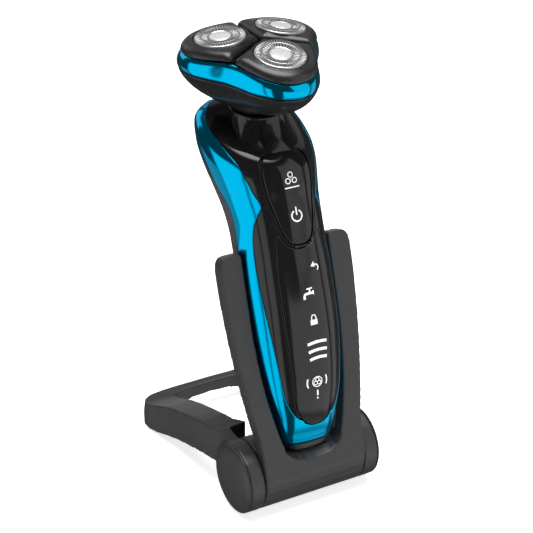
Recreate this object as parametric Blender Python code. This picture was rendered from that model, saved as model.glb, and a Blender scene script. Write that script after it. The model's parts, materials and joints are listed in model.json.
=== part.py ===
"""Cordless rotary shaver with three flexing heads, standing in its folding stand.

The stand's cradle leans back over a hinge barrel, and a loop leg hinged on the
barrel props it from behind.  World axes: +X to the shaver's left, -Y to the
front, +Z up.  The origin is on the floor, under the middle of the footprint.
Lengths below are in millimetres and are scaled to metres as they are used.
"""
import bmesh
import bpy
from math import asin, atan2, cos, hypot, pi, radians, sin, sqrt, tan

MM = 0.001

# ---- Stand -----------------------------------------------------------------
BARREL_Y = -36.3          # hinge axis, measured from the middle of the footprint
BARREL_R = 16.1
STRIP_PROUD = 0.4         # rubber strip stands this far out of the barrel
BARREL_Z = BARREL_R + STRIP_PROUD
LEAN = 17.53              # degrees that the cradle and shaver lean back
BARREL_HALF = 25.1        # half length of the cradle's own barrel section
KNUCKLE_IN = 25.4
KNUCKLE_OUT = 32.0
CAP_OUT = 34.7
PIN_R = 2.5
PIN_CLEAR = 0.08
PLATE_BACK = 11.0         # cradle plate, forward of the leaning plane
PLATE_FRONT = 17.4
SOCKET_FLOOR = 8.2        # height of the shaver's seat above the hinge axis
SOCKET_BACK = -4.5
CRADLE_TOP = 100.4
LEG_REAR = 89.0           # hinge axis to the back of the loop leg

# Front view of the cradle: half width against height above the hinge axis.
CRADLE_OUTSIDE = [
    (25.1, 0.0), (25.1, 18.0), (26.0, 23.0), (27.0, 31.0), (28.1, 40.0), (29.2, 50.0),
    (30.2, 62.0), (31.0, 76.0), (31.3, 88.0), (31.2, 95.0), (30.5, 98.2), (29.0, 100.0),
    (27.0, CRADLE_TOP),
]
CRADLE_INSIDE = [
    (22.2, CRADLE_TOP), (21.4, 99.6), (21.2, 98.0), (21.5, 76.0), (21.4, 65.0),
    (20.9, 54.0), (20.2, 45.0), (19.2, 36.0), (17.7, 27.0), (16.3, 20.0), (14.8, 14.0),
    (14.0, 11.6), (12.6, 9.4), (10.8, 8.4), (8.8, SOCKET_FLOOR),
]

# Side bar of the loop leg, measured from the hinge axis:
# back, outer x, outer bottom, outer top, inner x, inner bottom, inner top.
LEG_BAR = [
    (4.0, 31.4, 0.0, 14.6, 26.2, 0.0, 14.6),
    (16.3, 31.6, -1.8, 14.8, 25.9, -1.2, 15.2),
    (17.0, 32.0, -1.9, 14.8, 16.8, 7.2, 15.2),
    (22.0, 32.6, -2.6, 14.1, 20.6, 4.9, 15.0),
    (29.0, 33.3, -3.4, 12.6, 21.6, 2.4, 14.0),
    (38.0, 33.8, -5.5, 10.2, 21.6, -1.0, 11.2),
    (50.0, 34.4, -8.5, 6.5, 21.6, -5.0, 7.2),
    (61.0, 35.0, -12.0, 2.8, 21.7, -8.8, 3.2),
    (71.0, 36.2, -15.2, -1.4, 21.8, -12.2, -1.2),
    (77.0, 37.2, -16.1, -3.9, 21.8, -13.4, -3.6),
]
# Rear corner and crossbar: outer x, outer y, inner x, inner y, bottom, top.
LEG_CORNER = [
    (37.2, 81.4, 21.2, 79.4, -16.1, -4.9),
    (35.4, 85.2, 20.0, 81.0, -15.2, -5.0),
    (31.6, 87.4, 18.0, 82.0, -13.6, -5.0),
    (25.0, 88.4, 14.6, 82.7, -11.8, -5.0),
    (16.0, 88.8, 9.6, 83.2, -11.0, -5.0),
    (0.0, LEG_REAR, 0.0, 83.4, -10.6, -5.0),
]

# ---- Shaver body -----------------------------------------------------------
# Cross-sections in the leaning frame: height above the hinge axis, half width,
# depth of the widest point, front, back and roundness of the outline.
SECTIONS = [
    (11.5, 10.5, 9.0, 16.5, 1.5, 2.6),
    (12.4, 11.8, 9.0, 18.0, 0.7, 2.5),
    (15.0, 12.9, 9.2, 19.8, 0.0, 2.4),
    (25.0, 15.2, 10.0, 24.8, -1.0, 2.3),
    (35.0, 17.4, 10.5, 28.2, -1.5, 2.25),
    (45.0, 18.8, 11.0, 30.3, -2.0, 2.2),
    (57.0, 19.9, 11.0, 31.9, -2.3, 2.2),
    (72.0, 20.6, 10.5, 33.0, -2.5, 2.15),
    (88.0, 20.7, 10.5, 32.8, -2.5, 2.1),
    (101.0, 20.4, 10.0, 32.2, -2.3, 2.1),
    (111.0, 20.6, 9.4, 31.8, -3.0, 2.05),
    (120.0, 21.4, 8.0, 31.3, -5.6, 2.0),
    (128.0, 22.7, 6.5, 31.0, -9.4, 2.0),
    (135.0, 23.9, 5.0, 29.7, -12.8, 2.0),
    (141.5, 24.6, 3.0, 25.3, -15.2, 2.0),
    (147.0, 24.5, 0.5, 18.2, -16.9, 2.0),
    (151.0, 23.8, -1.5, 12.2, -17.6, 2.0),
    (155.0, 22.4, -4.6, 6.0, -18.2, 2.0),
    (158.5, 20.1, -7.6, 0.6, -18.1, 2.0),
    (161.3, 16.2, -9.9, -4.0, -16.4, 2.1),
    (163.0, 12.0, -11.0, -7.2, -15.0, 2.2),
]
WALL = 1.8
PANEL_THICK = 0.9
SEAM = 0.12               # half the gap left between two neighbouring covers

# Side view of the seams, as (forward, height) in the leaning frame.
TRIM_FRONT = [
    (-16.0, 172.0), (-10.0, 163.8), (-6.6, 161.0), (-4.0, 158.6), (0.0, 155.4),
    (4.5, 152.0), (9.6, 148.0), (15.6, 142.8), (20.4, 137.6), (23.2, 131.3),
    (24.9, 125.0), (26.4, 119.6), (25.0, 115.8), (23.3, 111.6), (22.3, 106.6),
    (22.0, 101.0), (22.2, 94.0), (22.8, 86.0), (23.6, 77.5), (24.2, 69.0),
    (24.5, 60.0), (24.3, 51.0), (23.6, 42.0), (22.9, 34.0), (22.8, 28.0),
    (23.4, 23.6), (25.0, 21.2), (45.0, 18.0),
]
TRIM_BACK = [
    (-34.0, 152.8), (-17.4, 152.4), (-10.6, 150.2), (-4.4, 146.0), (1.4, 139.6),
    (6.0, 131.5), (10.2, 123.8), (12.5, 117.6), (13.2, 111.0), (13.0, 101.0),
    (12.8, 84.0), (12.6, 62.0), (12.0, 42.0), (10.6, 26.0), (8.8, 15.0), (7.0, 4.0),
]
# Front view of the seam between the upper and lower housings.
HOUSING_SEAM = [(40.0, 128.0), (14.0, 120.8), (11.6, 117.4), (9.9, 112.6), (8.6, 106.6),
                (6.6, 102.6), (3.6, 100.5), (0.0, 99.9)]
BUTTON_OUTLINE = [(0.0, 101.1), (3.2, 101.6), (5.6, 103.2), (7.2, 106.8), (8.5, 111.5),
                  (9.8, 117.7), (10.8, 123.0), (11.5, 128.0), (11.7, 132.8), (11.2, 136.6),
                  (9.6, 139.4), (6.0, 141.0), (0.0, 141.4)]
PANEL_OUTLINE = [(0.0, 22.3), (3.2, 22.7), (6.2, 24.6), (8.4, 27.6), (9.9, 32.0), (10.8, 40.0),
                 (11.4, 53.0), (12.0, 66.0), (12.2, 80.0), (11.8, 92.0), (11.0, 101.0),
                 (10.0, 107.0)]

# ---- Head ------------------------------------------------------------------
HEAD_FORWARD = 22.0       # middle of the three shaving faces, in the leaning frame
HEAD_HEIGHT = 187.3
HEAD_NOD = 23.11          # degrees that the head faces forward of the body's axis
HEAD_MEAN_R = 27.6
HEAD_LOBE = 5.3
DISC_RADIUS = 11.0
DISC_PCD_R = 16.7
DISC_SPLAY = 7.6          # degrees that each face tips outwards
PAD_GROOVE = 0.75         # half the gap between two neighbouring pads
LOBE_ANGLES = (150.0, 30.0, -90.0)
LOBE_NAMES = ("left", "right", "front")
BAND_TOP = -6.3
BAND_CLIMB = 2.4          # the band is this much taller in the valleys
PAD_CLIMB = 3.2           # the pads' undersides rise more, so that they can tip
BAND_BOTTOM = -12.3
BOWL_BOTTOM = -28.6
NECK_TOP = -30.2
NECK_R = 11.9
PIVOT_DROP = -28.0        # neck pivot, below the shaving faces
PAD_HINGE_OUT = 30.0      # pad hinge line, from the head's axis
PAD_HINGE_DROP = -5.0

# ---- Drive -----------------------------------------------------------------
GEAR_CENTRES = 16.0
DRIVE_TEETH = 15
SATELLITE_TEETH = 12
GEAR_MODULE = 2 * GEAR_CENTRES / (DRIVE_TEETH + SATELLITE_TEETH)
GEAR_LOW = -17.0
GEAR_HIGH = -14.6
PLATE_LOW = -11.4
PLATE_HIGH = -9.6


def scaled(points):
    return [(x * MM, y * MM, z * MM) for x, y, z in points]


def material(name, colour, metallic=0.0, roughness=0.5):
    made = bpy.data.materials.new(name)
    made.use_nodes = True
    shader = made.node_tree.nodes["Principled BSDF"]
    shader.inputs["Base Color"].default_value = (*colour, 1.0)
    shader.inputs["Metallic"].default_value = metallic
    shader.inputs["Roughness"].default_value = roughness
    made.diffuse_color = (*colour, 1.0)
    return made


def datum(name, location=(0, 0, 0), tilt=0.0, parent=None, axis=0):
    """An empty that carries a frame; tilt turns it about one of its own axes."""
    empty = bpy.data.objects.new(name, None)
    bpy.context.collection.objects.link(empty)
    empty.location = [value * MM for value in location]
    empty.rotation_euler[axis] = radians(tilt)
    empty.parent = parent
    return empty


def put(name, mesh, parent, look, location=(0, 0, 0), smooth=35.0):
    made = bpy.data.objects.new(name, mesh)
    bpy.context.collection.objects.link(made)
    made.location = [value * MM for value in location]
    made.parent = parent
    if look is not None:
        finish = material(name, *look)
        mesh.materials.append(finish)
    mesh.shade_smooth()
    mesh.set_sharp_from_angle(angle=radians(smooth))
    return made


def face_outwards(mesh):
    work = bmesh.new()
    work.from_mesh(mesh)
    bmesh.ops.recalc_face_normals(work, faces=work.faces)
    if work.calc_volume(signed=True) < 0:
        bmesh.ops.reverse_faces(work, faces=work.faces)
    work.to_mesh(mesh)
    work.free()


def loft(name, loops, ring=False):
    """Skin closed loops of equal length; a ring joins its last loop to its first."""
    count = len(loops[0])
    points = [point for loop in loops for point in loop]
    faces = []
    spans = len(loops) if ring else len(loops) - 1
    for row in range(spans):
        low = row * count
        high = (row + 1) % len(loops) * count
        for i in range(count):
            j = (i + 1) % count
            faces.append((low + i, low + j, high + j, high + i))
    if not ring:
        faces.append(tuple(range(count)))
        faces.append(tuple(reversed(range(len(points) - count, len(points)))))
    mesh = bpy.data.meshes.new(name)
    mesh.from_pydata(scaled(points), [], faces)
    face_outwards(mesh)
    return mesh


def lathe(name, profile, count=32, ring=False):
    """Turn (radius, height) pairs about Z; a ring profile is a closed section."""
    loops = []
    for radius, height in profile:
        loops.append([(radius * cos(2 * pi * i / count), radius * sin(2 * pi * i / count), height)
                      for i in range(count)])
    return loft(name, loops, ring)


def prism(name, outline, low, high, axis):
    """Extrude a closed outline along X, Y or Z between two levels."""
    def place(a, b, level):
        if axis == "X":
            return (level, a, b)
        if axis == "Y":
            return (a, level, b)
        return (a, b, level)

    return loft(name, [[place(a, b, low) for a, b in outline],
                       [place(a, b, high) for a, b in outline]])


def block(name, centre, size):
    cx, cy, cz = centre
    hx, hy, hz = (value / 2 for value in size)
    outline = [(cx - hx, cy - hy), (cx + hx, cy - hy), (cx + hx, cy + hy), (cx - hx, cy + hy)]
    return prism(name, outline, cz - hz, cz + hz, "Z")


def cylinder(name, radius, start, end, axis="X", at=(0.0, 0.0), count=32):
    a0, b0 = at
    outline = [(a0 + radius * cos(2 * pi * i / count), b0 + radius * sin(2 * pi * i / count))
               for i in range(count)]
    return prism(name, outline, start, end, axis)


def tool(name, mesh, parent, location=(0, 0, 0)):
    """A cutter: never shown or exported as a piece of the shaver."""
    made = put("cut_" + name, mesh, parent, None, location)
    made.hide_render = True
    made.display_type = "WIRE"
    made.hide_viewport = False
    return made


def combine(target, other, operation):
    step = target.modifiers.new(operation.lower() + "_" + other.name, "BOOLEAN")
    step.operation = operation
    step.solver = "EXACT"
    step.object = other
    return step


def bevel(target, width, segments=2, limit=40.0):
    step = target.modifiers.new("soft_edges", "BEVEL")
    step.width = width * MM
    step.segments = segments
    step.limit_method = "ANGLE"
    step.angle_limit = radians(limit)
    step.harden_normals = False
    return step


def mirrored(half):
    """Close a right-hand outline that starts and ends on the middle line."""
    left = [(-x, h) for x, h in reversed(half) if x > 0.01]
    return list(half) + left


def widened(curve, amount):
    """Shift an open curve sideways, to the left of its own direction."""
    moved = []
    last = len(curve) - 1
    for i, (a, b) in enumerate(curve):
        a0, b0 = curve[max(i - 1, 0)]
        a1, b1 = curve[min(i + 1, last)]
        reach = hypot(a1 - a0, b1 - b0)
        moved.append((a - (b1 - b0) / reach * amount, b + (a1 - a0) / reach * amount))
    return moved


def signed_power(value, power):
    return (abs(value) ** power) * (1 if value >= 0 else -1)


def body_loop(row, inset, rise, count):
    height, half, centre, front, back, power = row
    loop = []
    for i in range(count):
        turn = 2 * pi * i / count
        x = (half - inset) * signed_power(sin(turn), 2 / power)
        reach = front - centre if cos(turn) >= 0 else centre - back
        forward = centre + (reach - inset) * signed_power(cos(turn), 2 / power)
        loop.append((x, -forward, height + rise))
    return loop


def body_form(name, inset=0.0, count=32):
    """The shaver body as one solid, shrunk evenly by the inset."""
    last = len(SECTIONS) - 1
    loops = []
    for i, row in enumerate(SECTIONS):
        if inset > 0.5 and i in (1, 7, 9, last):
            continue
        rise = 0.0
        if row[0] < 12.0:
            rise = inset
        if row[0] > 145.0:
            rise = -inset * 0.7
        loops.append(body_loop(row, inset, rise, count))
    return loft(name, loops)


def head_radius(angle, inset=0.0):
    """Trefoil outline of the head: lobes over the three shaving faces."""
    return HEAD_MEAN_R + HEAD_LOBE * cos(3 * (angle + pi / 2)) - inset


def trefoil(level, inset=0.0, count=42, blend=0.0, round_to=0.0, climb=0.0):
    """One level of the head; climb lifts it in the valleys between the lobes."""
    loop = []
    for i in range(count):
        angle = 2 * pi * i / count
        radius = head_radius(angle, inset) * (1 - blend) + round_to * blend
        rise = climb * (1 - cos(3 * (angle + pi / 2))) / 2
        loop.append((radius * cos(angle), radius * sin(angle), level + rise))
    return loop


def gear_outline(teeth, module, slack, offset=0.0):
    """Involute-like outline with a tooth centred on the offset angle."""
    pitch = teeth * module / 2
    root = pitch - 1.2 * module
    tip = pitch + 0.9 * module
    base = pitch * cos(radians(20.0))
    swing = tan(radians(20.0)) - radians(20.0)
    half = pi / teeth / 2 - slack / pitch / 2 + swing
    outline = []
    for tooth in range(teeth):
        middle = 2 * pi * tooth / teeth + offset
        flank = []
        for radius in (root, tip):
            if radius > base:
                lean = sqrt((radius / base) ** 2 - 1)
                lean -= asin(sqrt(radius ** 2 - base ** 2) / radius)
            else:
                lean = 0.0
            flank.append((radius, half - lean))
        for radius, angle in flank:
            outline.append((radius, middle - angle))
        for radius, angle in reversed(flank):
            outline.append((radius, middle + angle))
    return outline


def geared_shaft(name, teeth, offset, profile_below, profile_above):
    """A gear wheel with turned shoulders under and over it, as one piece."""
    outline = gear_outline(teeth, GEAR_MODULE, 0.16, offset)

    def turned(radius, height):
        return [(radius * cos(angle), radius * sin(angle), height) for _, angle in outline]

    def toothed(height):
        return [(radius * cos(angle), radius * sin(angle), height) for radius, angle in outline]

    loops = [turned(radius, height) for radius, height in profile_below]
    loops += [toothed(GEAR_LOW), toothed(GEAR_HIGH)]
    loops += [turned(radius, height) for radius, height in profile_above]
    return loft(name, loops)


for leftover in list(bpy.data.objects):
    bpy.data.objects.remove(leftover, do_unlink=True)

BLACK = ((0.012, 0.012, 0.014), 0.0, 0.16)
SATIN = ((0.035, 0.035, 0.037), 0.0, 0.42)
INNER = ((0.10, 0.10, 0.11), 0.0, 0.55)
RUBBER = ((0.05, 0.05, 0.052), 0.0, 0.75)
BLUE = ((0.0, 0.36, 0.72), 0.85, 0.18)
STEEL = ((0.62, 0.62, 0.64), 1.0, 0.28)
BRIGHT = ((0.80, 0.80, 0.81), 0.9, 0.2)
WHITE = ((0.75, 0.75, 0.73), 0.0, 0.5)
GREEN = ((0.02, 0.18, 0.06), 0.0, 0.45)
BRASS = ((0.68, 0.48, 0.20), 1.0, 0.3)

barrel = datum("barrel_frame", (0.0, BARREL_Y, BARREL_Z))
lean = datum("lean_frame", tilt=-LEAN, parent=barrel)

# ---- Cradle and hinge barrel ----------------------------------------------
outside = [(-x, h) for x, h in reversed(CRADLE_OUTSIDE)] + CRADLE_OUTSIDE
inside = CRADLE_INSIDE + [(-x, h) for x, h in reversed(CRADLE_INSIDE)]
plate = prism("stand_frame", outside + inside, -PLATE_FRONT, -PLATE_BACK, "Y")
stand_frame = put("stand_frame", plate, lean, SATIN)
barrel_side = []
for step in range(28):
    turn = 2 * pi * step / 28
    forward = BARREL_R * cos(turn)
    height = BARREL_R * sin(turn)
    barrel_side.append((-forward, height))
barrel_tool = tool("barrel", prism("barrel", barrel_side, -BARREL_HALF, BARREL_HALF, "X"), lean)
chin = [(-PLATE_FRONT, 8.0), (-PLATE_FRONT, 3.5), (-17.1, 0.0), (-16.3, -3.4), (-14.8, -6.8),
        (-6.0, -8.0), (-6.0, 8.0)]
chin_tool = tool("chin", prism("chin", chin, -BARREL_HALF, BARREL_HALF, "X"), lean)
combine(stand_frame, barrel_tool, "UNION")
combine(stand_frame, chin_tool, "UNION")
seat = CRADLE_INSIDE[3:] + [(-x, h) for x, h in reversed(CRADLE_INSIDE[3:])]
seat_tool = tool("seat", prism("seat", seat, -22.0, -SOCKET_BACK, "Y"), lean)
combine(stand_frame, seat_tool, "DIFFERENCE")
lip_back = [(13.2, 10.2), (12.4, 9.3), (10.8, 8.5), (8.6, SOCKET_FLOOR + 0.05),
            (4.0, SOCKET_FLOOR + 0.05), (0.0, SOCKET_FLOOR + 0.05)]
lip_front = [(15.2, 12.6), (13.6, 9.2), (11.0, 6.2), (7.8, 4.2), (4.0, 3.1), (0.0, 2.8)]
lip_loops = []
for reach, half_lip in ((13.2, lip_back), (18.4, lip_front)):
    sweep = half_lip + [(-x, h) for x, h in reversed(half_lip[:-1])]
    lip_loops.append([(x, -reach, h) for x, h in sweep])
lip_tool = tool("lip", loft("lip", lip_loops), lean)
combine(stand_frame, lip_tool, "DIFFERENCE")
pin_hole = tool("pin_hole", cylinder("pin_hole", PIN_R + PIN_CLEAR, -40.0, 40.0, "X", count=20),
                lean)
combine(stand_frame, pin_hole, "DIFFERENCE")
strip_slot = tool("strip_slot", block("strip_slot", (0, 0, -16.0), (40.2, 6.6, 1.9)), barrel)
combine(stand_frame, strip_slot, "DIFFERENCE")
bevel(stand_frame, 0.8, 1, 55.0)

foot = block("foot_strip", (0, 0, (-BARREL_Z - 15.1) / 2), (40.0, 6.4, BARREL_Z - 15.1))
foot_strip = put("foot_strip", foot, barrel, RUBBER)
pin = lathe("hinge_pin", [(PIN_R - 0.4, -32.8), (PIN_R, -32.4), (PIN_R, 32.4),
                          (PIN_R - 0.4, 32.8)], 20)
hinge_pin = put("hinge_pin", pin, barrel, STEEL)
hinge_pin.rotation_euler[1] = radians(90.0)

# ---- Loop leg --------------------------------------------------------------
leg_frame = datum("leg_hinge", parent=barrel)
right_loops = []
for back, x_out, z_bot, z_top, x_in, zi_bot, zi_top in LEG_BAR:
    rise = (zi_top - z_top) * 0.45
    right_loops.append([(x_out, back, z_bot), (x_out + 0.2, back, (z_bot + z_top) / 2),
                        (x_out - 0.5, back, z_top), ((x_out + x_in) / 2, back, z_top + rise),
                        (x_in, back, zi_top), (x_in, back, (zi_bot + zi_top) / 2),
                        (x_in, back, zi_bot)])
for x_out, y_out, x_in, y_in, z_bot, z_top in LEG_CORNER:
    lift = (z_top - z_bot)
    right_loops.append([(x_out, y_out, z_bot), (x_out, y_out + 0.2, z_bot + lift / 2),
                        (x_out * 0.985, y_out - 0.5, z_top),
                        ((x_out + x_in) / 2, (y_out + y_in) / 2, z_top + 0.3),
                        (x_in, y_in, z_top), (x_in, y_in, z_bot + lift / 2),
                        (x_in, y_in, z_bot + 0.5)])
left_loops = [[(-x, y, z) for x, y, z in loop] for loop in reversed(right_loops[:-1])]
leg_mesh = loft("stand_leg", right_loops + left_loops)
stand_leg = put("stand_leg", leg_mesh, leg_frame, SATIN)
knuckle_side = []
for step in range(28):
    turn = 2 * pi * step / 28
    knuckle_side.append((BARREL_R * cos(turn), BARREL_R * sin(turn)))
for side, start, end in (("right", KNUCKLE_IN, KNUCKLE_OUT), ("left", -KNUCKLE_OUT, -KNUCKLE_IN)):
    knuckle = tool("knuckle_" + side, prism("knuckle", knuckle_side, start, end, "X"), leg_frame)
    combine(stand_leg, knuckle, "UNION")
leg_bore = tool("leg_bore", cylinder("leg_bore", PIN_R + PIN_CLEAR, -40.0, 40.0, "X", count=24),
                leg_frame)
leg_bore.rotation_euler[0] = radians(4.0)
combine(stand_leg, leg_bore, "DIFFERENCE")
for side, sign in (("right", 1), ("left", -1)):
    recess = tool("washer_seat_" + side,
                  cylinder("washer_seat", 6.4, sign * (KNUCKLE_IN - 1.0),
                           sign * (KNUCKLE_IN + 0.9), count=28), leg_frame)
    combine(stand_leg, recess, "DIFFERENCE")
    foot_seat = tool("foot_seat_" + side,
                     block("foot_seat", (sign * 30.0, 77.5, -16.5), (6.6, 6.6, 2.4)), leg_frame)
    combine(stand_leg, foot_seat, "DIFFERENCE")

for side, sign in (("right", 1), ("left", -1)):
    dome = [(6.0, CAP_OUT), (11.0, CAP_OUT - 0.25), (13.8, CAP_OUT - 0.8), (15.4, CAP_OUT - 1.7),
            (15.9, KNUCKLE_OUT + 0.15), (3.4, KNUCKLE_OUT + 0.15), (3.4, 33.2)]
    cap_mesh = lathe("end_cap_" + side, dome, 28)
    cap = put("end_cap_" + side, cap_mesh, leg_frame, SATIN)
    cap.rotation_euler[1] = radians(90.0 * sign)
    wave = lathe("friction_washer_" + side, [(6.0, KNUCKLE_IN + 0.7), (6.0, KNUCKLE_IN - 0.15),
                                             (2.9, KNUCKLE_IN - 0.15), (2.9, KNUCKLE_IN + 0.7)],
                 20, ring=True)
    washer = put("friction_washer_" + side, wave, leg_frame, STEEL)
    washer.rotation_euler[1] = radians(90.0 * sign)
    foot_mesh = block("leg_foot_" + side, (sign * 30.0, 77.5, -15.95), (6.3, 6.3, 1.1))
    put("leg_foot_" + side, foot_mesh, leg_frame, RUBBER)

# ---- Shaver body covers ----------------------------------------------------
outer_mesh = body_form("outer")
inner_tool = tool("inner_form", body_form("inner", WALL), lean)
behind = widened(TRIM_BACK, -SEAM)
behind = [(-f, h) for f, h in behind] + [(60.0, 4.0), (60.0, 152.8)]
behind_tool = tool("behind", prism("behind", behind, -60.0, 60.0, "X"), lean)
middle_back = widened(TRIM_BACK, SEAM)
middle_front = widened(TRIM_FRONT, -SEAM)
middle = [(-f, h) for f, h in middle_back]
middle += [(-45.0, -20.0), (-45.0, 18.0 - SEAM)]
middle += [(-f, h) for f, h in reversed(middle_front[:-1])]
middle += [(60.0, 172.0), (60.0, 152.8 + SEAM)]
middle_tool = tool("middle", prism("middle", middle, -60.0, 60.0, "X"), lean)
ahead_curve = widened(TRIM_FRONT, SEAM)
ahead = [(-f, h) for f, h in ahead_curve] + [(-60.0, 18.0), (-60.0, 172.0)]
ahead_tool = tool("ahead", prism("ahead", ahead, -60.0, 60.0, "X"), lean)

seam_up = widened(HOUSING_SEAM, SEAM)
seam_down = widened(HOUSING_SEAM, -SEAM)
above = [(x, h) for x, h in seam_down] + [(-x, h) for x, h in reversed(seam_down[:-1])]
above += [(-40.0, 180.0), (40.0, 180.0)]
below = [(x, h) for x, h in seam_up] + [(-x, h) for x, h in reversed(seam_up[:-1])]
below += [(-40.0, -10.0), (40.0, -10.0)]
above_tool = tool("above", prism("above", above, -60.0, 60.0, "Y"), lean)
below_tool = tool("below", prism("below", below, -60.0, 60.0, "Y"), lean)

rear_grip = put("rear_grip", outer_mesh, lean, RUBBER)
combine(rear_grip, inner_tool, "DIFFERENCE")
combine(rear_grip, behind_tool, "INTERSECT")

side_trim = put("side_trim", body_form("side_trim"), lean, BLUE)
combine(side_trim, inner_tool, "DIFFERENCE")
combine(side_trim, middle_tool, "INTERSECT")

button_hole = tool("button_hole", prism("button_hole", mirrored(widened(BUTTON_OUTLINE, -0.2)),
                                        -60.0, -18.0, "Y"), lean)
head_axis = datum("head_frame", (0.0, -HEAD_FORWARD, HEAD_HEIGHT), HEAD_NOD, lean)


def neck_loops(grow, bore=0.0):
    """The neck column: a tilted ring at the top, flaring into the shoulders."""
    nod = radians(HEAD_NOD)
    top_f = HEAD_FORWARD + NECK_TOP * sin(nod)
    top_h = HEAD_HEIGHT + NECK_TOP * cos(nod)
    stages = [(0.0, NECK_R, NECK_R), (0.12, NECK_R - 0.3, NECK_R - 0.5),
              (0.4, NECK_R + 0.9, NECK_R - 0.3), (0.7, NECK_R + 2.6, NECK_R + 0.6),
              (1.0, NECK_R + 3.6, NECK_R + 1.0)]
    low_f = 13.9
    low_h = 139.5
    loops = []
    for part, wide, deep in stages:
        tilt = nod * (1 - part)
        mid_f = top_f + (low_f - top_f) * part ** 1.3
        mid_h = top_h + (low_h - top_h) * part
        loop = []
        for i in range(24):
            turn = 2 * pi * i / 24
            x = (bore or wide + grow) * cos(turn)
            reach = (bore or deep + grow) * sin(turn)
            loop.append((x, -(mid_f + reach * cos(tilt)), mid_h - reach * sin(tilt)))
        loops.append(loop)
    return loops


neck_room = tool("neck_room", loft("neck_room", neck_loops(0.15)), lean)
upper_housing = put("upper_housing", body_form("upper_housing"), lean, BLACK)
combine(upper_housing, inner_tool, "DIFFERENCE")
combine(upper_housing, ahead_tool, "INTERSECT")
combine(upper_housing, above_tool, "INTERSECT")
combine(upper_housing, button_hole, "DIFFERENCE")
combine(upper_housing, neck_room, "DIFFERENCE")

panel_core = tool("panel_core", body_form("panel_core", PANEL_THICK + 0.06), lean)
panel_side = mirrored(PANEL_OUTLINE)
recess_side = mirrored(widened(PANEL_OUTLINE, -0.1) + [(0.0, 107.0)])
panel_recess = tool("panel_recess", prism("panel_recess", recess_side, -60.0, -12.0, "Y"), lean)
combine(panel_recess, panel_core, "DIFFERENCE")
lower_housing = put("lower_housing", body_form("lower_housing"), lean, BLACK)
combine(lower_housing, inner_tool, "DIFFERENCE")
combine(lower_housing, ahead_tool, "INTERSECT")
combine(lower_housing, below_tool, "INTERSECT")
combine(lower_housing, panel_recess, "DIFFERENCE")
combine(side_trim, panel_recess, "DIFFERENCE")

panel_inner = tool("panel_inner", body_form("panel_inner", PANEL_THICK), lean)
panel_prism = tool("panel_prism", prism("panel_prism", mirrored(PANEL_OUTLINE + [(0.0, 107.0)]),
                                        -60.0, -12.0, "Y"), lean)
display_panel = put("display_panel", body_form("display_panel"), lean, BLACK)
combine(display_panel, panel_inner, "DIFFERENCE")
combine(display_panel, panel_prism, "INTERSECT")
combine(display_panel, below_tool, "INTERSECT")

button_prism = tool("button_prism", prism("button_prism", mirrored(BUTTON_OUTLINE),
                                          -60.0, -18.0, "Y"), lean)
power_button = put("power_button", body_form("power_button"), lean, BLACK)
combine(power_button, inner_tool, "DIFFERENCE")
combine(power_button, button_prism, "INTERSECT")

# Bottom plug with the charging socket.
plug_rows = [(8.5, 8.6, 8.9, 14.4, 3.4, 2.6), (9.3, 9.6, 8.9, 15.4, 2.4, 2.6),
             (11.3, 9.9, 8.9, 15.7, 2.1, 2.6)]
plug_mesh = loft("bottom_cap", [body_loop(row, 0.0, 0.0, 32) for row in plug_rows])
bottom_cap = put("bottom_cap", plug_mesh, lean, BLACK)
socket_tool = tool("socket_well", block("socket_well", (0, -8.9, 9.0), (8.4, 5.4, 2.2)), lean)
combine(bottom_cap, socket_tool, "DIFFERENCE")
for side, sign in (("left", -1), ("right", 1)):
    contact = lathe("charge_pin_" + side, [(0.5, 8.7), (0.7, 8.9), (0.7, 10.05)], 12)
    put("charge_pin_" + side, contact, lean, BRASS, (sign * 2.0, -8.9, 0.0))

# ---- Inside the body -------------------------------------------------------
chassis = block("chassis", (0, -18.2, 82.0), (21.0, 1.6, 92.0))
chassis_node = put("chassis", chassis, lean, INNER)
cell = lathe("battery", [(6.9, 30.0), (7.1, 30.3), (7.1, 77.6), (6.9, 78.0), (2.6, 78.0),
                         (2.6, 79.2)], 20)
put("battery", cell, lean, GREEN, (0.0, -9.2, 0.0))
motor_mesh = lathe("motor", [(7.6, 94.0), (7.9, 94.4), (7.9, 119.5), (7.5, 120.0), (3.0, 120.0),
                             (3.0, 121.2)], 20)
put("motor", motor_mesh, lean, STEEL, (0.0, -8.9, 0.0))
board = block("circuit_board", (0, -20.6, 79.0), (18.0, 1.2, 84.0))
circuit_board = put("circuit_board", board, lean, GREEN)
guide = block("light_guide", (0, -25.2, 57.5), (9.6, 7.2, 13.0))
put("light_guide", guide, lean, WHITE)
switch = block("button_switch", (0, -24.3, 113.0), (6.0, 5.8, 6.0))
put("button_switch", switch, lean, INNER)
for label, height in (("low", 44.0), ("high", 104.0)):
    hole = tool("screw_hole_" + label, cylinder("screw_hole", 1.15, -23.0, -16.0, "Y",
                                                (6.5, height), 16), lean)
    combine(chassis_node, hole, "DIFFERENCE")
    combine(circuit_board, hole, "DIFFERENCE")
    screw_mesh = lathe("board_screw_" + label, [(0.9, 0.0), (0.9, 4.2), (1.9, 4.2), (1.9, 5.2),
                                                (1.5, 5.5)], 16)
    screw = put("board_screw_" + label, screw_mesh, lean, STEEL, (6.5, -17.1, height))
    screw.rotation_euler[0] = radians(90.0)

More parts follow.
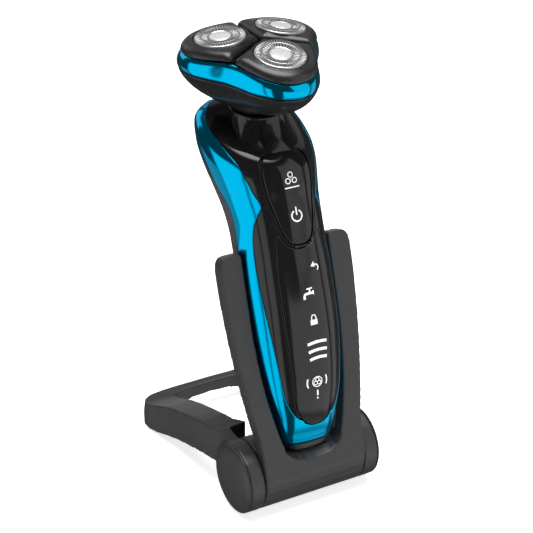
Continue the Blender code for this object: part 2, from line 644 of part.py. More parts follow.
# ---- Neck ------------------------------------------------------------------
outer_neck = neck_loops(0.0)
inner_neck = neck_loops(0.0, bore=9.0)
neck_mesh = loft("neck_collar", outer_neck + list(reversed(inner_neck)), ring=True)
neck_collar = put("neck_collar", neck_mesh, lean, BLACK)
button_room = tool("button_room", prism("button_room", mirrored(widened(BUTTON_OUTLINE, -0.5)),
                                        -60.0, -21.6, "Y"), lean)
combine(neck_collar, button_room, "DIFFERENCE")
pivot_frame = datum("pivot_frame", (0.0, 0.0, PIVOT_DROP), parent=head_axis)
pivot_ring = lathe("neck_pivot", [(7.3, -3.9), (7.6, -3.4), (7.8, -1.9), (8.3, -1.4), (8.2, 3.6),
                                  (7.6, 4.2), (5.6, 4.2), (5.6, -3.9)], 24, ring=True)
put("neck_pivot", pivot_ring, pivot_frame, INNER)
seal = lathe("neck_seal", [(8.7, -1.45), (10.6, -1.45), (10.8, -1.15), (10.6, -0.8), (8.7, -0.8)],
             24, ring=True)
put("neck_seal", seal, pivot_frame, RUBBER)
shaft = lathe("drive_shaft", [(1.2, -40.5), (2.1, -39.8), (2.1, -30.0), (1.7, -29.5), (1.7, -22.2),
                              (1.2, -21.6)], 6)
put("drive_shaft", shaft, head_axis, STEEL)
motor_shaft = lathe("motor_shaft", [(1.1, 121.8), (1.1, 142.6), (2.6, 143.4), (2.6, 146.2),
                                    (2.0, 147.0)], 16)
put("motor_shaft", motor_shaft, lean, STEEL, (0.0, -8.9, 0.0))

# ---- Head ------------------------------------------------------------------
head = datum("head_group", parent=head_axis)
ROUND = 12.4
bowl_loops = [
    trefoil(BAND_BOTTOM - 0.25, -0.9), trefoil(-15.4, -0.3, blend=0.02, round_to=ROUND),
    trefoil(-19.4, 0.4, blend=0.14, round_to=ROUND),
    trefoil(-23.2, 0.8, blend=0.40, round_to=ROUND),
    trefoil(-26.6, 0.8, blend=0.76, round_to=ROUND),
    trefoil(BOWL_BOTTOM, blend=1.0, round_to=ROUND),
    trefoil(BOWL_BOTTOM, blend=1.0, round_to=9.1),
    trefoil(-25.0, blend=1.0, round_to=9.1),
    trefoil(-21.6, 2.6, blend=0.40, round_to=ROUND),
    trefoil(BAND_BOTTOM - 0.25, 1.2),
]
bowl_mesh = loft("head_bowl", bowl_loops, ring=True)
head_bowl = put("head_bowl", bowl_mesh, head, SATIN)
band_loops = [
    trefoil(BAND_TOP, 0.3, climb=BAND_CLIMB), trefoil(-8.0, -0.9, climb=0.8),
    trefoil(-10.2, -1.5), trefoil(BAND_BOTTOM, -1.2), trefoil(BAND_BOTTOM, 1.2),
    trefoil(BAND_TOP, 2.0, climb=BAND_CLIMB),
]
head_band = put("head_band", loft("head_band", band_loops, ring=True), head, BLUE)

plate_mesh = loft("gear_plate", [trefoil(PLATE_LOW, 2.6), trefoil(PLATE_HIGH, 2.6)])
gear_plate = put("gear_plate", plate_mesh, head, INNER)
arbor = tool("arbor", cylinder("arbor", 2.58, -20.0, -5.0, "Z", count=24), head)
combine(gear_plate, arbor, "DIFFERENCE")

drive_mesh = geared_shaft(
    "drive_gear", DRIVE_TEETH, 0.0,
    [(4.6, -24.4), (4.6, GEAR_LOW)],
    [(2.5, GEAR_HIGH), (2.5, -8.0)])
drive_gear = put("drive_gear", drive_mesh, head, WHITE, smooth=25.0)
drive_socket = tool("drive_socket", cylinder("drive_socket", 2.7, -26.0, -18.6, "Z", count=24), head)
combine(drive_gear, drive_socket, "DIFFERENCE")

for label, degrees in zip(LOBE_NAMES, LOBE_ANGLES):
    angle = radians(degrees)
    spot = (GEAR_CENTRES * cos(angle), GEAR_CENTRES * sin(angle))
    arbor = tool("arbor_" + label, cylinder("arbor", 1.78, -20.0, -5.0, "Z", spot, 24), head)
    combine(gear_plate, arbor, "DIFFERENCE")
    # The drive gear's teeth turn by this much to reach the lobe's direction.
    phase = (degrees / 360.0 * DRIVE_TEETH) % 1.0
    offset = angle + pi + (0.5 - (0.0 - phase)) * 2 * pi / SATELLITE_TEETH
    sat_mesh = geared_shaft(
        "satellite_gear_" + label, SATELLITE_TEETH, offset,
        [(2.6, -19.0), (2.6, GEAR_LOW)],
        [(1.7, GEAR_HIGH), (1.7, -5.6), (1.2, -5.0)])
    put("satellite_gear_" + label, sat_mesh, head, WHITE, (spot[0], spot[1], 0.0), smooth=25.0)

    # Lobe frame: on the pad's hinge line, with +X pointing outwards.
    out_x, out_y = cos(angle), sin(angle)
    pad_frame = datum("pad_hinge_" + label,
                      (PAD_HINGE_OUT * out_x, PAD_HINGE_OUT * out_y, PAD_HINGE_DROP),
                      degrees, head, axis=2)
    splay = radians(DISC_SPLAY)

    def plane(out, side, drop):
        """A point over the tipped face, in the pad's hinge frame."""
        lift = -(out - DISC_PCD_R) * tan(splay)
        return (out - PAD_HINGE_OUT, side, lift + drop - PAD_HINGE_DROP)

    def pad_edge(turn, inset):
        """Distance from the face's middle to the pad's edge in one direction."""
        reach = 1.0
        while reach < 24.0:
            out = DISC_PCD_R + reach * cos(turn)
            side = reach * sin(turn)
            where = hypot(out, side)
            bearing = abs(asin(max(-1.0, min(1.0, side / where)))) if out > 0 else pi
            limit = HEAD_MEAN_R + HEAD_LOBE * cos(3 * bearing) - inset
            slack = out * sin(pi / 3) - abs(side) * cos(pi / 3)
            if where > limit or slack < PAD_GROOVE + inset:
                break
            reach += 0.05
        return reach

    PAD_STEPS = 30
    turns = [2 * pi * i / PAD_STEPS for i in range(PAD_STEPS)]
    rims = [(0.2, 0.0, True), (0.0, -3.2, False), (0.5, -1.7, False), (1.5, -0.8, False),
            (2.9, -0.2, False)]
    loops = []
    for inset, drop, under in rims:
        loop = []
        for turn in turns:
            reach = pad_edge(turn, inset)
            out = DISC_PCD_R + reach * cos(turn)
            side = reach * sin(turn)
            if under:
                rise = PAD_CLIMB * (1 - cos(3 * atan2(side, out))) / 2
                loop.append((out - PAD_HINGE_OUT, side, BAND_TOP + 0.36 + rise - PAD_HINGE_DROP))
            else:
                loop.append(plane(out, side, drop))
        loops.append(loop)
    for radius, drop in ((DISC_RADIUS + 0.3, 0.0), (DISC_RADIUS + 0.3, -1.6)):
        loops.append([plane(DISC_PCD_R + radius * cos(turn), radius * sin(turn), drop)
                      for turn in turns])
    loops.append([(DISC_PCD_R + (DISC_RADIUS + 0.3) * cos(turn) - PAD_HINGE_OUT,
                   (DISC_RADIUS + 0.3) * sin(turn), -5.2 - PAD_HINGE_DROP)
                  for turn in turns])
    put("pad_" + label, loft("pad_" + label, loops, ring=True), pad_frame, SATIN)

    # Face frame: middle of the shaving face, tipped outwards.
    face = datum("face_" + label, (DISC_PCD_R - PAD_HINGE_OUT, 0.0, -PAD_HINGE_DROP),
                 DISC_SPLAY, pad_frame, axis=1)
    guard = lathe("outer_guard_" + label, [
        (4.75, 0.15), (5.4, 0.45), (7.6, 0.55), (8.0, 0.2), (8.4, 0.55), (10.4, 0.45), (11.0, -0.2),
        (11.0, -3.0), (10.4, -3.0), (10.4, -0.35), (4.75, -0.45)], 24, ring=True)
    put("outer_guard_" + label, guard, face, STEEL)
    boss = lathe("centre_cap_" + label, [(3.4, -0.9), (4.55, -0.7), (4.55, 0.35), (3.6, 0.75),
                                         (1.6, 0.95)], 16)
    put("centre_cap_" + label, boss, face, BRIGHT)
    blade_points = []
    for tooth in range(8):
        for radius, share in ((6.2, 0.0), (9.9, 0.30), (9.9, 0.62), (6.2, 0.86)):
            blade_points.append((radius, (tooth + share) * 2 * pi / 8))

    def star(level, scale=None):
        return [((scale or radius) * cos(turn), (scale or radius) * sin(turn), level)
                for radius, turn in blade_points]

    cutter_loops = [star(-1.0, 5.0), star(-1.0), star(-2.2), star(-2.2, 4.2), star(-4.4, 4.2),
                    star(-4.4, 2.9), star(-2.4, 2.9)]
    cutter = loft("inner_cutter_" + label, cutter_loops)
    put("inner_cutter_" + label, cutter, face, STEEL, smooth=25.0)
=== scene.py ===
"""Looks for the rotary shaver in its folding stand: detailed covers, head, stand and studio."""
import json
from math import asin, atan2, cos, hypot, pi, radians, sin, tan

import bmesh
import bpy
import numpy as np
from mathutils import Matrix, Vector


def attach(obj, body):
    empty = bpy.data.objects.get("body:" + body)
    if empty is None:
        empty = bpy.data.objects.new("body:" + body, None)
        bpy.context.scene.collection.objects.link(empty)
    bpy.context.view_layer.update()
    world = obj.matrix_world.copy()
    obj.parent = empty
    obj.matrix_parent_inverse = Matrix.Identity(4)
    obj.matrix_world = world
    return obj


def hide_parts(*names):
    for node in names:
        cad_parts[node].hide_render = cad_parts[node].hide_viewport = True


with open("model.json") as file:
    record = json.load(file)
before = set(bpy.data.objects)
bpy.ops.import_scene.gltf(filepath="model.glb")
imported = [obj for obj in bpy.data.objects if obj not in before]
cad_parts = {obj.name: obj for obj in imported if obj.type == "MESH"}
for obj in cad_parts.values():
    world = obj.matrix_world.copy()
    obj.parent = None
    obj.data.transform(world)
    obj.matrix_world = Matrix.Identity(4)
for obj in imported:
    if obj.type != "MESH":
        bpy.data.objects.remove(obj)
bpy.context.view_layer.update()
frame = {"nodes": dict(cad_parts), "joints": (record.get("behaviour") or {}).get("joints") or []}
MM = 0.001

# ---- Frames, read from the record's joints ---------------------------------
joints = {joint["name"]: joint for joint in frame["joints"]}
hinge = Vector(joints["leg_fold"]["pos_m"])
up = Vector(joints["shaver_lift"]["axis"]).normalized()
head_up = Vector(joints["head_release"]["axis"]).normalized()
PIVOT_DROP = 28.0
head_middle = Vector(joints["neck_tilt"]["pos_m"]) + head_up * PIVOT_DROP * MM


def frame_of(origin, z_axis):
    """Millimetre frame with X across the shaver and Z along the given direction."""
    x_axis = Vector((1.0, 0.0, 0.0))
    y_axis = z_axis.cross(x_axis)
    turned = Matrix((x_axis, y_axis, z_axis)).transposed().to_4x4()
    return Matrix.Translation(origin) @ turned @ Matrix.Scale(MM, 4)


LEAN = frame_of(hinge, up)
BARREL = frame_of(hinge, Vector((0.0, 0.0, 1.0)))
HEAD = frame_of(head_middle, head_up)

# ---- Dimensions shared with the solids, in millimetres ---------------------
# Body sections: height, half width, how far forward the middle, front and back lie,
# and the power of the rounding.
SECTIONS = [
    (11.5, 10.5, 9.0, 16.5, 1.5, 2.6),
    (12.4, 11.8, 9.0, 18.0, 0.7, 2.5),
    (15.0, 12.9, 9.2, 19.8, 0.0, 2.4),
    (25.0, 15.2, 10.0, 24.8, -1.0, 2.3),
    (35.0, 17.4, 10.5, 28.2, -1.5, 2.25),
    (45.0, 18.8, 11.0, 30.3, -2.0, 2.2),
    (57.0, 19.9, 11.0, 31.9, -2.3, 2.2),
    (72.0, 20.6, 10.5, 33.0, -2.5, 2.15),
    (88.0, 20.7, 10.5, 32.8, -2.5, 2.1),
    (101.0, 20.4, 10.0, 32.2, -2.3, 2.1),
    (111.0, 20.6, 9.4, 31.8, -3.0, 2.05),
    (120.0, 21.4, 8.0, 31.3, -5.6, 2.0),
    (128.0, 22.7, 6.5, 31.0, -9.4, 2.0),
    (135.0, 23.9, 5.0, 29.7, -12.8, 2.0),
    (141.5, 24.6, 3.0, 25.3, -15.2, 2.0),
    (147.0, 24.5, 0.5, 18.2, -16.9, 2.0),
    (151.0, 23.8, -1.5, 12.2, -17.6, 2.0),
    (155.0, 22.4, -4.6, 6.0, -18.2, 2.0),
    (158.5, 20.1, -7.6, 0.6, -18.1, 2.0),
    (161.3, 16.2, -9.9, -4.0, -16.4, 2.1),
    (163.0, 12.0, -11.0, -7.2, -15.0, 2.2),
]
# Seams seen from the side: how far forward, and height.
TRIM_FRONT = [
    (-16.0, 172.0), (-10.0, 163.8), (-6.6, 161.0), (-4.0, 158.6), (0.0, 155.4),
    (4.5, 152.0), (9.6, 148.0), (15.6, 142.8), (20.4, 137.6), (23.2, 131.3),
    (24.9, 125.0), (26.4, 119.6), (25.0, 115.8), (23.3, 111.6), (22.3, 106.6),
    (22.0, 101.0), (22.2, 94.0), (22.8, 86.0), (23.6, 77.5), (24.2, 69.0),
    (24.5, 60.0), (24.3, 51.0), (23.6, 42.0), (22.9, 34.0), (22.8, 28.0),
    (23.4, 23.6), (25.0, 21.2), (45.0, 18.0),
]
TRIM_BACK = [
    (-34.0, 152.8), (-17.4, 152.4), (-10.6, 150.2), (-4.4, 146.0), (1.4, 139.6),
    (6.0, 131.5), (10.2, 123.8), (12.5, 117.6), (13.2, 111.0), (13.0, 101.0),
    (12.8, 84.0), (12.6, 62.0), (12.0, 42.0), (10.6, 26.0), (8.8, 15.0), (7.0, 4.0),
]
# Seam and outlines seen from the front, right half: across, and height.
HOUSING_SEAM = [(40.0, 128.0), (14.0, 120.8), (11.6, 117.4), (9.9, 112.6), (8.6, 106.6),
                (6.6, 102.6), (3.6, 100.5), (0.0, 99.9)]
BUTTON_OUTLINE = [(0.0, 101.1), (3.2, 101.6), (5.6, 103.2), (7.2, 106.8), (8.5, 111.5),
                  (9.8, 117.7), (10.8, 123.0), (11.5, 128.0), (11.7, 132.8), (11.2, 136.6),
                  (9.6, 139.4), (6.0, 141.0), (0.0, 141.4)]
PANEL_OUTLINE = [(0.0, 20.7), (3.2, 21.1), (6.2, 23.4), (8.4, 27.2), (9.9, 32.0), (10.8, 40.0),
                 (11.4, 53.0), (12.0, 66.0), (12.2, 80.0), (11.8, 92.0), (11.0, 101.0),
                 (10.0, 107.0)]
HEAD_MEAN_R = 27.6
HEAD_LOBE = 5.3
DISC_RADIUS = 11.0
DISC_PCD_R = 16.7
DISC_SPLAY = radians(7.6)
PAD_GROOVE = 0.75
BAND_TOP = -6.3
BAND_CLIMB = 2.4
PAD_CLIMB = 3.2
BAND_BOTTOM = -12.3
BOWL_BOTTOM = -28.6
NECK_TOP = -30.2
NECK_R = 11.9
LOBES = {"left": 150.0, "right": 30.0, "front": -90.0}
KNUCKLE_OUT = 32.0
CAP_OUT = 34.7
CAP_INSIDE = 33.2
PIN_HOLE_R = 3.4
# In the leaning frame: how far forward, and height.
HEAD_PLACE = (22.0, 187.3)
NECK_FOOT = (13.9, 139.5)
# The neck's bore, and the hole that the covers leave for the neck.
NECK_BORE_R = 9.2
NECK_HOLE_R = 8.6
NECK_HOLE_FORE = 12.0
# Where the front side begins, and the heights of the panel's end and of the shoulders.
FRONT_FROM = 12.0
PANEL_END = 106.0
SHOULDER = 112.0


# ---- Curves ----------------------------------------------------------------
def smooth_curve(points, steps=8):
    """Catmull-Rom curve through points given as tuples of any length."""
    pts = np.array(points, float)
    ends = np.vstack([2 * pts[0] - pts[1], pts, 2 * pts[-1] - pts[-2]])
    made = []
    for i in range(1, len(ends) - 2):
        p0, p1, p2, p3 = ends[i - 1:i + 3]
        for step in range(steps):
            t = step / steps
            made.append(0.5 * (2 * p1 + (p2 - p0) * t + (2 * p0 - 5 * p1 + 4 * p2 - p3) * t ** 2
                               + (3 * p1 - p0 - 3 * p2 + p3) * t ** 3))
    made.append(pts[-1])
    return np.array(made)


def half_curve(points, steps=8):
    """Smooth half of a symmetric outline, level where it meets the middle line."""
    before = [(-points[1][0], points[1][1])] if points[0][0] == 0.0 else []
    after = [(-points[-2][0], points[-2][1])] if points[-1][0] == 0.0 else []
    curve = smooth_curve(before + list(points) + after, steps)
    return curve[steps * len(before):len(curve) - steps * len(after)]


def distance_to(curve, a, b):
    """Distance from points (a, b) to a polyline, positive on its left."""
    best = np.full(a.shape, 1e9)
    side = np.zeros(a.shape)
    for (a0, b0), (a1, b1) in zip(curve[:-1], curve[1:]):
        da, db = a1 - a0, b1 - b0
        span = da * da + db * db
        if span < 1e-9:
            continue
        t = np.clip(((a - a0) * da + (b - b0) * db) / span, 0.0, 1.0)
        ga, gb = a - a0 - t * da, b - b0 - t * db
        gap = np.hypot(ga, gb)
        cross = da * gb - db * ga
        nearer = gap < best - 1e-9
        best = np.where(nearer, gap, best)
        side = np.where(nearer, cross, side)
    return best * np.where(side >= 0, 1.0, -1.0)


def rows_at(table, heights):
    """Cubic interpolation of every column of a table over its first column."""
    keys = np.array([row[0] for row in table])
    values = np.array([row[1:] for row in table])
    slopes = np.gradient(values, keys, axis=0)
    place = np.clip(np.searchsorted(keys, heights) - 1, 0, len(keys) - 2)
    span = (keys[place + 1] - keys[place])[:, None]
    t = ((heights - keys[place])[:, None]) / span
    a, b = values[place], values[place + 1]
    sa, sb = slopes[place] * span, slopes[place + 1] * span
    return ((2 * t ** 3 - 3 * t ** 2 + 1) * a + (t ** 3 - 2 * t ** 2 + t) * sa
            + (3 * t ** 2 - 2 * t ** 3) * b + (t ** 3 - t ** 2) * sb)


def body_points(turn, height):
    """Points of the body surface for arrays of angle and height, in the leaning frame."""
    half, centre, front, back, power = rows_at(SECTIONS, height.ravel()).T
    turn = turn.ravel()
    c, s = np.cos(turn), np.sin(turn)
    x = half * np.sign(s) * np.abs(s) ** (2 / power)
    reach = np.where(c >= 0, front - centre, centre - back)
    fore = centre + reach * np.sign(c) * np.abs(c) ** (2 / power)
    return np.stack([x, -fore, height.ravel()], 1)


# ---- Mesh helpers ----------------------------------------------------------
def made_object(name, points, faces, look, where, normals=None, body=None, nodes=()):
    """A mesh object in the row frame, riding on a body and standing for its nodes."""
    mesh = bpy.data.meshes.new(name)
    placed = [where @ Vector(point) for point in points]
    mesh.from_pydata(placed, [], faces)
    mesh.validate()
    mesh.shade_smooth()
    if normals is not None and len(mesh.vertices) == len(normals):
        turned = where.to_3x3()
        mesh.normals_split_custom_set_from_vertices(
            [(turned @ Vector(n)).normalized() for n in normals])
    made = bpy.data.objects.new(name, mesh)
    bpy.context.scene.collection.objects.link(made)
    made.data.materials.append(look)
    if body:
        settle(made, body, nodes)
    return made


def settle(piece, body, nodes=()):
    """Let a piece ride on its body and stand for its nodes."""
    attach(piece, body)
    if nodes:
        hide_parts(*nodes)
    return piece


def outward(mesh, near=1e-7):
    """Weld points closer than near and turn the faces outwards."""
    work = bmesh.new()
    work.from_mesh(mesh)
    bmesh.ops.remove_doubles(work, verts=work.verts, dist=near)
    bmesh.ops.recalc_face_normals(work, faces=work.faces)
    work.to_mesh(mesh)
    work.free()


def loft_parts(loops, ring=False):
    """Points and faces through loops of equal length, capped unless they close as a ring."""
    count = len(loops[0])
    points = [tuple(point) for loop in loops for point in loop]
    faces = []
    spans = len(loops) if ring else len(loops) - 1
    for row in range(spans):
        low, high = row * count, (row + 1) % len(loops) * count
        for i in range(count):
            j = (i + 1) % count
            faces.append((low + i, low + j, high + j, high + i))
    if not ring:
        faces.append(tuple(range(count)))
        faces.append(tuple(reversed(range(len(points) - count, len(points)))))
    return points, faces


def loft(name, loops, look, where, body=None, nodes=(), ring=False, sharp=40.0):
    """A lofted piece, smooth except at edges sharper than an angle in degrees."""
    points, faces = loft_parts(loops, ring)
    made = made_object(name, points, faces, look, where)
    outward(made.data)
    made.data.shade_smooth()
    made.data.set_sharp_from_angle(angle=radians(sharp))
    if body:
        settle(made, body, nodes)
    return made


def lathe_loops(profile, count):
    """Circles for a turned shape, from a profile of radius and level."""
    return [[(r * cos(2 * pi * i / count), r * sin(2 * pi * i / count), z) for i in range(count)]
            for r, z in profile]


# ---- Materials -------------------------------------------------------------
class Look:
    """A Principled material with procedural detail measured in metres."""

    def __init__(self, name, colour, metallic=0.0, roughness=0.5):
        self.material = bpy.data.materials.new(name)
        self.material.use_nodes = True
        self.tree = self.material.node_tree
        self.shader = self.tree.nodes["Principled BSDF"]
        self.shader.inputs["Base Color"].default_value = (*colour, 1.0)
        self.shader.inputs["Metallic"].default_value = metallic
        self.shader.inputs["Roughness"].default_value = roughness
        self.coords = self.tree.nodes.new("ShaderNodeTexCoord")

    def node(self, kind, **values):
        made = self.tree.nodes.new(kind)
        for key, value in values.items():
            made.inputs[key].default_value = value
        return made

    def link(self, a, b):
        self.tree.links.new(a, b)

    def noise(self, scale, detail=3.0):
        texture = self.node("ShaderNodeTexNoise", Scale=scale, Detail=detail)
        self.link(self.coords.outputs["Object"], texture.inputs["Vector"])
        return texture.outputs["Fac"]

    def ranged(self, value, low, high):
        spread = self.node("ShaderNodeMapRange")
        spread.inputs["To Min"].default_value = low
        spread.inputs["To Max"].default_value = high
        spread.inputs["From Min"].default_value = 0.3
        spread.inputs["From Max"].default_value = 0.7
        self.link(value, spread.inputs["Value"])
        return spread.outputs["Result"]

    def rough(self, scale, low, high):
        """Roughness that wanders between low and high."""
        self.link(self.ranged(self.noise(scale, 4.0), low, high), self.shader.inputs["Roughness"])
        return self

    def tint(self, scale, dark, light):
        """Colour that wanders between dark and light."""
        mix = self.node("ShaderNodeMix")
        mix.data_type = "RGBA"
        # A Mix node's colour sockets share names with its other kinds: 6 and 7 in, 2 out.
        mix.inputs[6].default_value = (*dark, 1.0)
        mix.inputs[7].default_value = (*light, 1.0)
        self.link(self.noise(scale), mix.inputs[0])
        self.link(mix.outputs[2], self.shader.inputs["Base Color"])
        return self

    def bump(self, scale, depth, strength=0.5):
        """Fine relief, its depth in metres."""
        lift = self.node("ShaderNodeBump", Strength=strength, Distance=depth)
        self.link(self.noise(scale), lift.inputs["Height"])
        self.link(lift.outputs["Normal"], self.shader.inputs["Normal"])
        return self


def tinted(name, colour, spread, metallic, roughness, tint_scale):
    """A look whose colour varies by a share either way."""
    dark = tuple(value * (1 - spread) for value in colour)
    light = tuple(min(1.0, value * (1 + spread)) for value in colour)
    return Look(name, colour, metallic, roughness).tint(tint_scale, dark, light)


stand_satin = tinted("stand_satin", (0.026, 0.026, 0.027), 0.12, 0.0, 0.4, 900.0)
stand_satin.rough(1400.0, 0.33, 0.45).bump(5200.0, 0.00004, 0.35)
head_satin = tinted("head_satin", (0.015, 0.015, 0.016), 0.12, 0.0, 0.3, 900.0)
head_satin.rough(1600.0, 0.24, 0.34).bump(5600.0, 0.00003, 0.25)
gloss = tinted("gloss_black", (0.0075, 0.0075, 0.0085), 0.2, 0.0, 0.1, 300.0)
gloss.rough(500.0, 0.07, 0.12).bump(160.0, 0.000006, 0.08)
bowl_gloss = tinted("bowl_gloss", (0.010, 0.010, 0.011), 0.2, 0.0, 0.2, 300.0)
bowl_gloss.rough(900.0, 0.18, 0.26).bump(2600.0, 0.00001, 0.15)
blue = tinted("blue_lacquer", (0.0, 0.47, 0.80), 0.06, 1.0, 0.12, 1600.0)
blue.rough(1200.0, 0.09, 0.15).bump(9000.0, 0.000002, 0.1)
grip = tinted("grip_rubber", (0.045, 0.045, 0.048), 0.10, 0.0, 0.62, 700.0)
grip.rough(2200.0, 0.52, 0.68).bump(4200.0, 0.00008, 0.5)
rubber = tinted("black_rubber", (0.020, 0.020, 0.020), 0.2, 0.0, 0.75, 900.0)
rubber.rough(2400.0, 0.65, 0.82).bump(3800.0, 0.00007, 0.5)
steel = tinted("turned_steel", (0.56, 0.56, 0.57), 0.08, 1.0, 0.3, 2600.0)
steel.rough(3200.0, 0.22, 0.38).bump(5200.0, 0.000006, 0.3)
shaving = tinted("shaving_steel", (0.47, 0.47, 0.475), 0.07, 0.8, 0.3, 2600.0)
shaving.rough(3600.0, 0.24, 0.36).bump(6200.0, 0.000006, 0.3)
bright = tinted("bright_cap", (0.86, 0.86, 0.865), 0.04, 0.55, 0.28, 1800.0)
bright.rough(2400.0, 0.22, 0.34).bump(4200.0, 0.000005, 0.3)
inner_dark = tinted("inner_plastic", (0.028, 0.028, 0.030), 0.15, 0.0, 0.5, 900.0)
inner_dark.rough(1600.0, 0.42, 0.58).bump(3200.0, 0.00004, 0.35)
gear_white = tinted("gear_plastic", (0.72, 0.72, 0.70), 0.05, 0.0, 0.45, 900.0)
gear_white.rough(1800.0, 0.38, 0.52).bump(3600.0, 0.00002, 0.3)
glowing_print_white = tinted("printed_white_glowing", (0.80, 0.80, 0.79), 0.05, 0.0, 0.5, 2600.0)
glowing_print_white.rough(2600.0, 0.42, 0.58)
# The print glows a little though it is no lamp: painted light that brightens the white marks.
glowing_print_white.shader.inputs["Emission Color"].default_value = (0.9, 0.9, 0.88, 1.0)
glowing_print_white.shader.inputs["Emission Strength"].default_value = 0.25
board_green = tinted("board_green", (0.02, 0.15, 0.05), 0.25, 0.0, 0.4, 1400.0)
board_green.rough(1800.0, 0.32, 0.48)
cell_wrap = tinted("cell_wrap", (0.02, 0.17, 0.07), 0.12, 0.0, 0.2, 500.0)
cell_wrap.rough(900.0, 0.14, 0.26)
brass = tinted("brass", (0.68, 0.48, 0.20), 0.08, 1.0, 0.3, 2600.0)
brass.rough(2600.0, 0.24, 0.38)


# ---- Body covers -----------------------------------------------------------
ACROSS = 200
STEP = 0.72
turns = np.arange(ACROSS) * 2 * pi / ACROSS
# The rows lie closer where the body curves in, at its foot and below the neck.
heights = np.concatenate([
    [11.5, 11.8, 12.1, 12.6, 13.2, 14.0], np.arange(15.0, 146.0, STEP),
    np.arange(146.0, 162.9, STEP * 0.7), [163.0]])
grid_turn, grid_height = np.meshgrid(turns, heights)
flat = body_points(grid_turn, grid_height).reshape(len(heights), ACROSS, 3)
along_turn = (np.roll(flat, -1, 1) - np.roll(flat, 1, 1))
along_height = np.gradient(flat, axis=0)
grid_normal = np.cross(along_turn, along_height)
grid_normal /= np.linalg.norm(grid_normal, axis=2, keepdims=True) + 1e-12
HALFWAY = len(heights) // 2
middle_row = flat[HALFWAY]
if np.sum(grid_normal[HALFWAY] * (middle_row - middle_row.mean(0))) < 0:
    grid_normal = -grid_normal
across_step = np.linalg.norm(along_turn, axis=2) + 1e-9
height_step = np.linalg.norm(along_height, axis=2) + 1e-9
grid_x, grid_fore, grid_h = flat[..., 0], -flat[..., 1], flat[..., 2]


def on_surface(level):
    """Turn a flat distance into one measured along the body's surface."""
    du = (np.roll(level, -1, 1) - np.roll(level, 1, 1)) / across_step
    dh = np.gradient(level, axis=0) / height_step
    return level / np.clip(np.hypot(du, dh), 0.25, 3.0)


def positive_at(level, row, column):
    """The level, turned so that it is positive at one point of the grid."""
    return -level if level[row, column] < 0 else level


# The turn of column 0 is the middle of the front, that of half the columns the back.
ahead = positive_at(on_surface(distance_to(smooth_curve(TRIM_FRONT)[::-1], grid_fore, grid_h)),
                    HALFWAY, 0)
behind = positive_at(on_surface(distance_to(smooth_curve(TRIM_BACK), grid_fore, grid_h)),
                     HALFWAY, ACROSS // 2)
above = positive_at(on_surface(distance_to(half_curve(HOUSING_SEAM), np.abs(grid_x), grid_h)),
                    -1, 0)


def outline_level(half):
    """Distance inside an outline on the body's front, from its right half."""
    level = on_surface(distance_to(half_curve(half), np.abs(grid_x), grid_h))
    inside_row = np.argmin(np.abs(heights - (half[0][1] + half[-1][1]) / 2))
    return np.where(grid_fore > FRONT_FROM, positive_at(level, inside_row, 0), -9.0)


on_button = outline_level(BUTTON_OUTLINE)
on_panel = np.minimum(outline_level(PANEL_OUTLINE), np.where(grid_h < PANEL_END, 9.0, -9.0))


def neck_gap():
    """Distance outside the neck's footprint, so that the covers stop short of it."""
    return np.hypot(grid_x, grid_fore - NECK_HOLE_FORE) - NECK_HOLE_R


def crowned(normals, points):
    """Normals bent towards the front below the shoulders, to shade a trim as if crowned."""
    bend, fade = 0.24, 14.0
    share = np.clip((SHOULDER - points[:, 2]) / fade, 0.0, 1.0)[:, None]
    bent = normals + share * np.array([[0.0, -bend, 0.0]])
    return bent / np.linalg.norm(bent, axis=1, keepdims=True)


def cut_surface(level):
    """Points, normals and faces of the body's surface where level is positive."""
    rows, cols = level.shape
    points, normals, index, crossing = [], [], {}, {}

    def vertex(r, c):
        key = (r, c % cols)
        if key not in index:
            index[key] = len(points)
            points.append(flat[key])
            normals.append(grid_normal[key])
        return index[key]

    def cut(a, b):
        key = (a, b) if a < b else (b, a)
        if key not in crossing:
            la, lb = level[key[0]], level[key[1]]
            t = float(np.clip(la / (la - lb), 0.02, 0.98))
            crossing[key] = len(points)
            points.append(flat[key[0]] * (1 - t) + flat[key[1]] * t)
            normal = grid_normal[key[0]] * (1 - t) + grid_normal[key[1]] * t
            normals.append(normal / np.linalg.norm(normal))
        return crossing[key]

    faces = []
    keep = level > 0
    for r in range(rows - 1):
        for c in range(cols):
            corners = [(r, c), (r, (c + 1) % cols), (r + 1, (c + 1) % cols), (r + 1, c)]
            kept = [keep[k] for k in corners]
            if not any(kept):
                continue
            face = []
            for i, here in enumerate(corners):
                after = corners[(i + 1) % 4]
                if kept[i]:
                    face.append(vertex(*here))
                if kept[i] != kept[(i + 1) % 4]:
                    face.append(cut(here, after))
            if len(face) > 2:
                faces.append(face)
    return np.array(points), np.array(normals), faces


def open_rim(points, normals, faces, turned):
    """Edges of the open rim, and at each of its points the way out along the surface."""
    sides = dict.fromkeys((a, b) for face in faces for a, b in zip(face, face[1:] + face[:1]))
    rim = [(a, b) for a, b in sides if (b, a) not in sides]
    outs = {}
    for a, b in rim:
        edge = points[b] - points[a]
        out = np.cross(edge, normals[a] + normals[b]) * (-1 if turned else 1)
        size = np.linalg.norm(out)
        if size > 1e-9:
            for v in (a, b):
                outs[v] = outs.get(v, 0) + out / size
    return rim, {v: out / (np.linalg.norm(out) + 1e-9) for v, out in outs.items()}


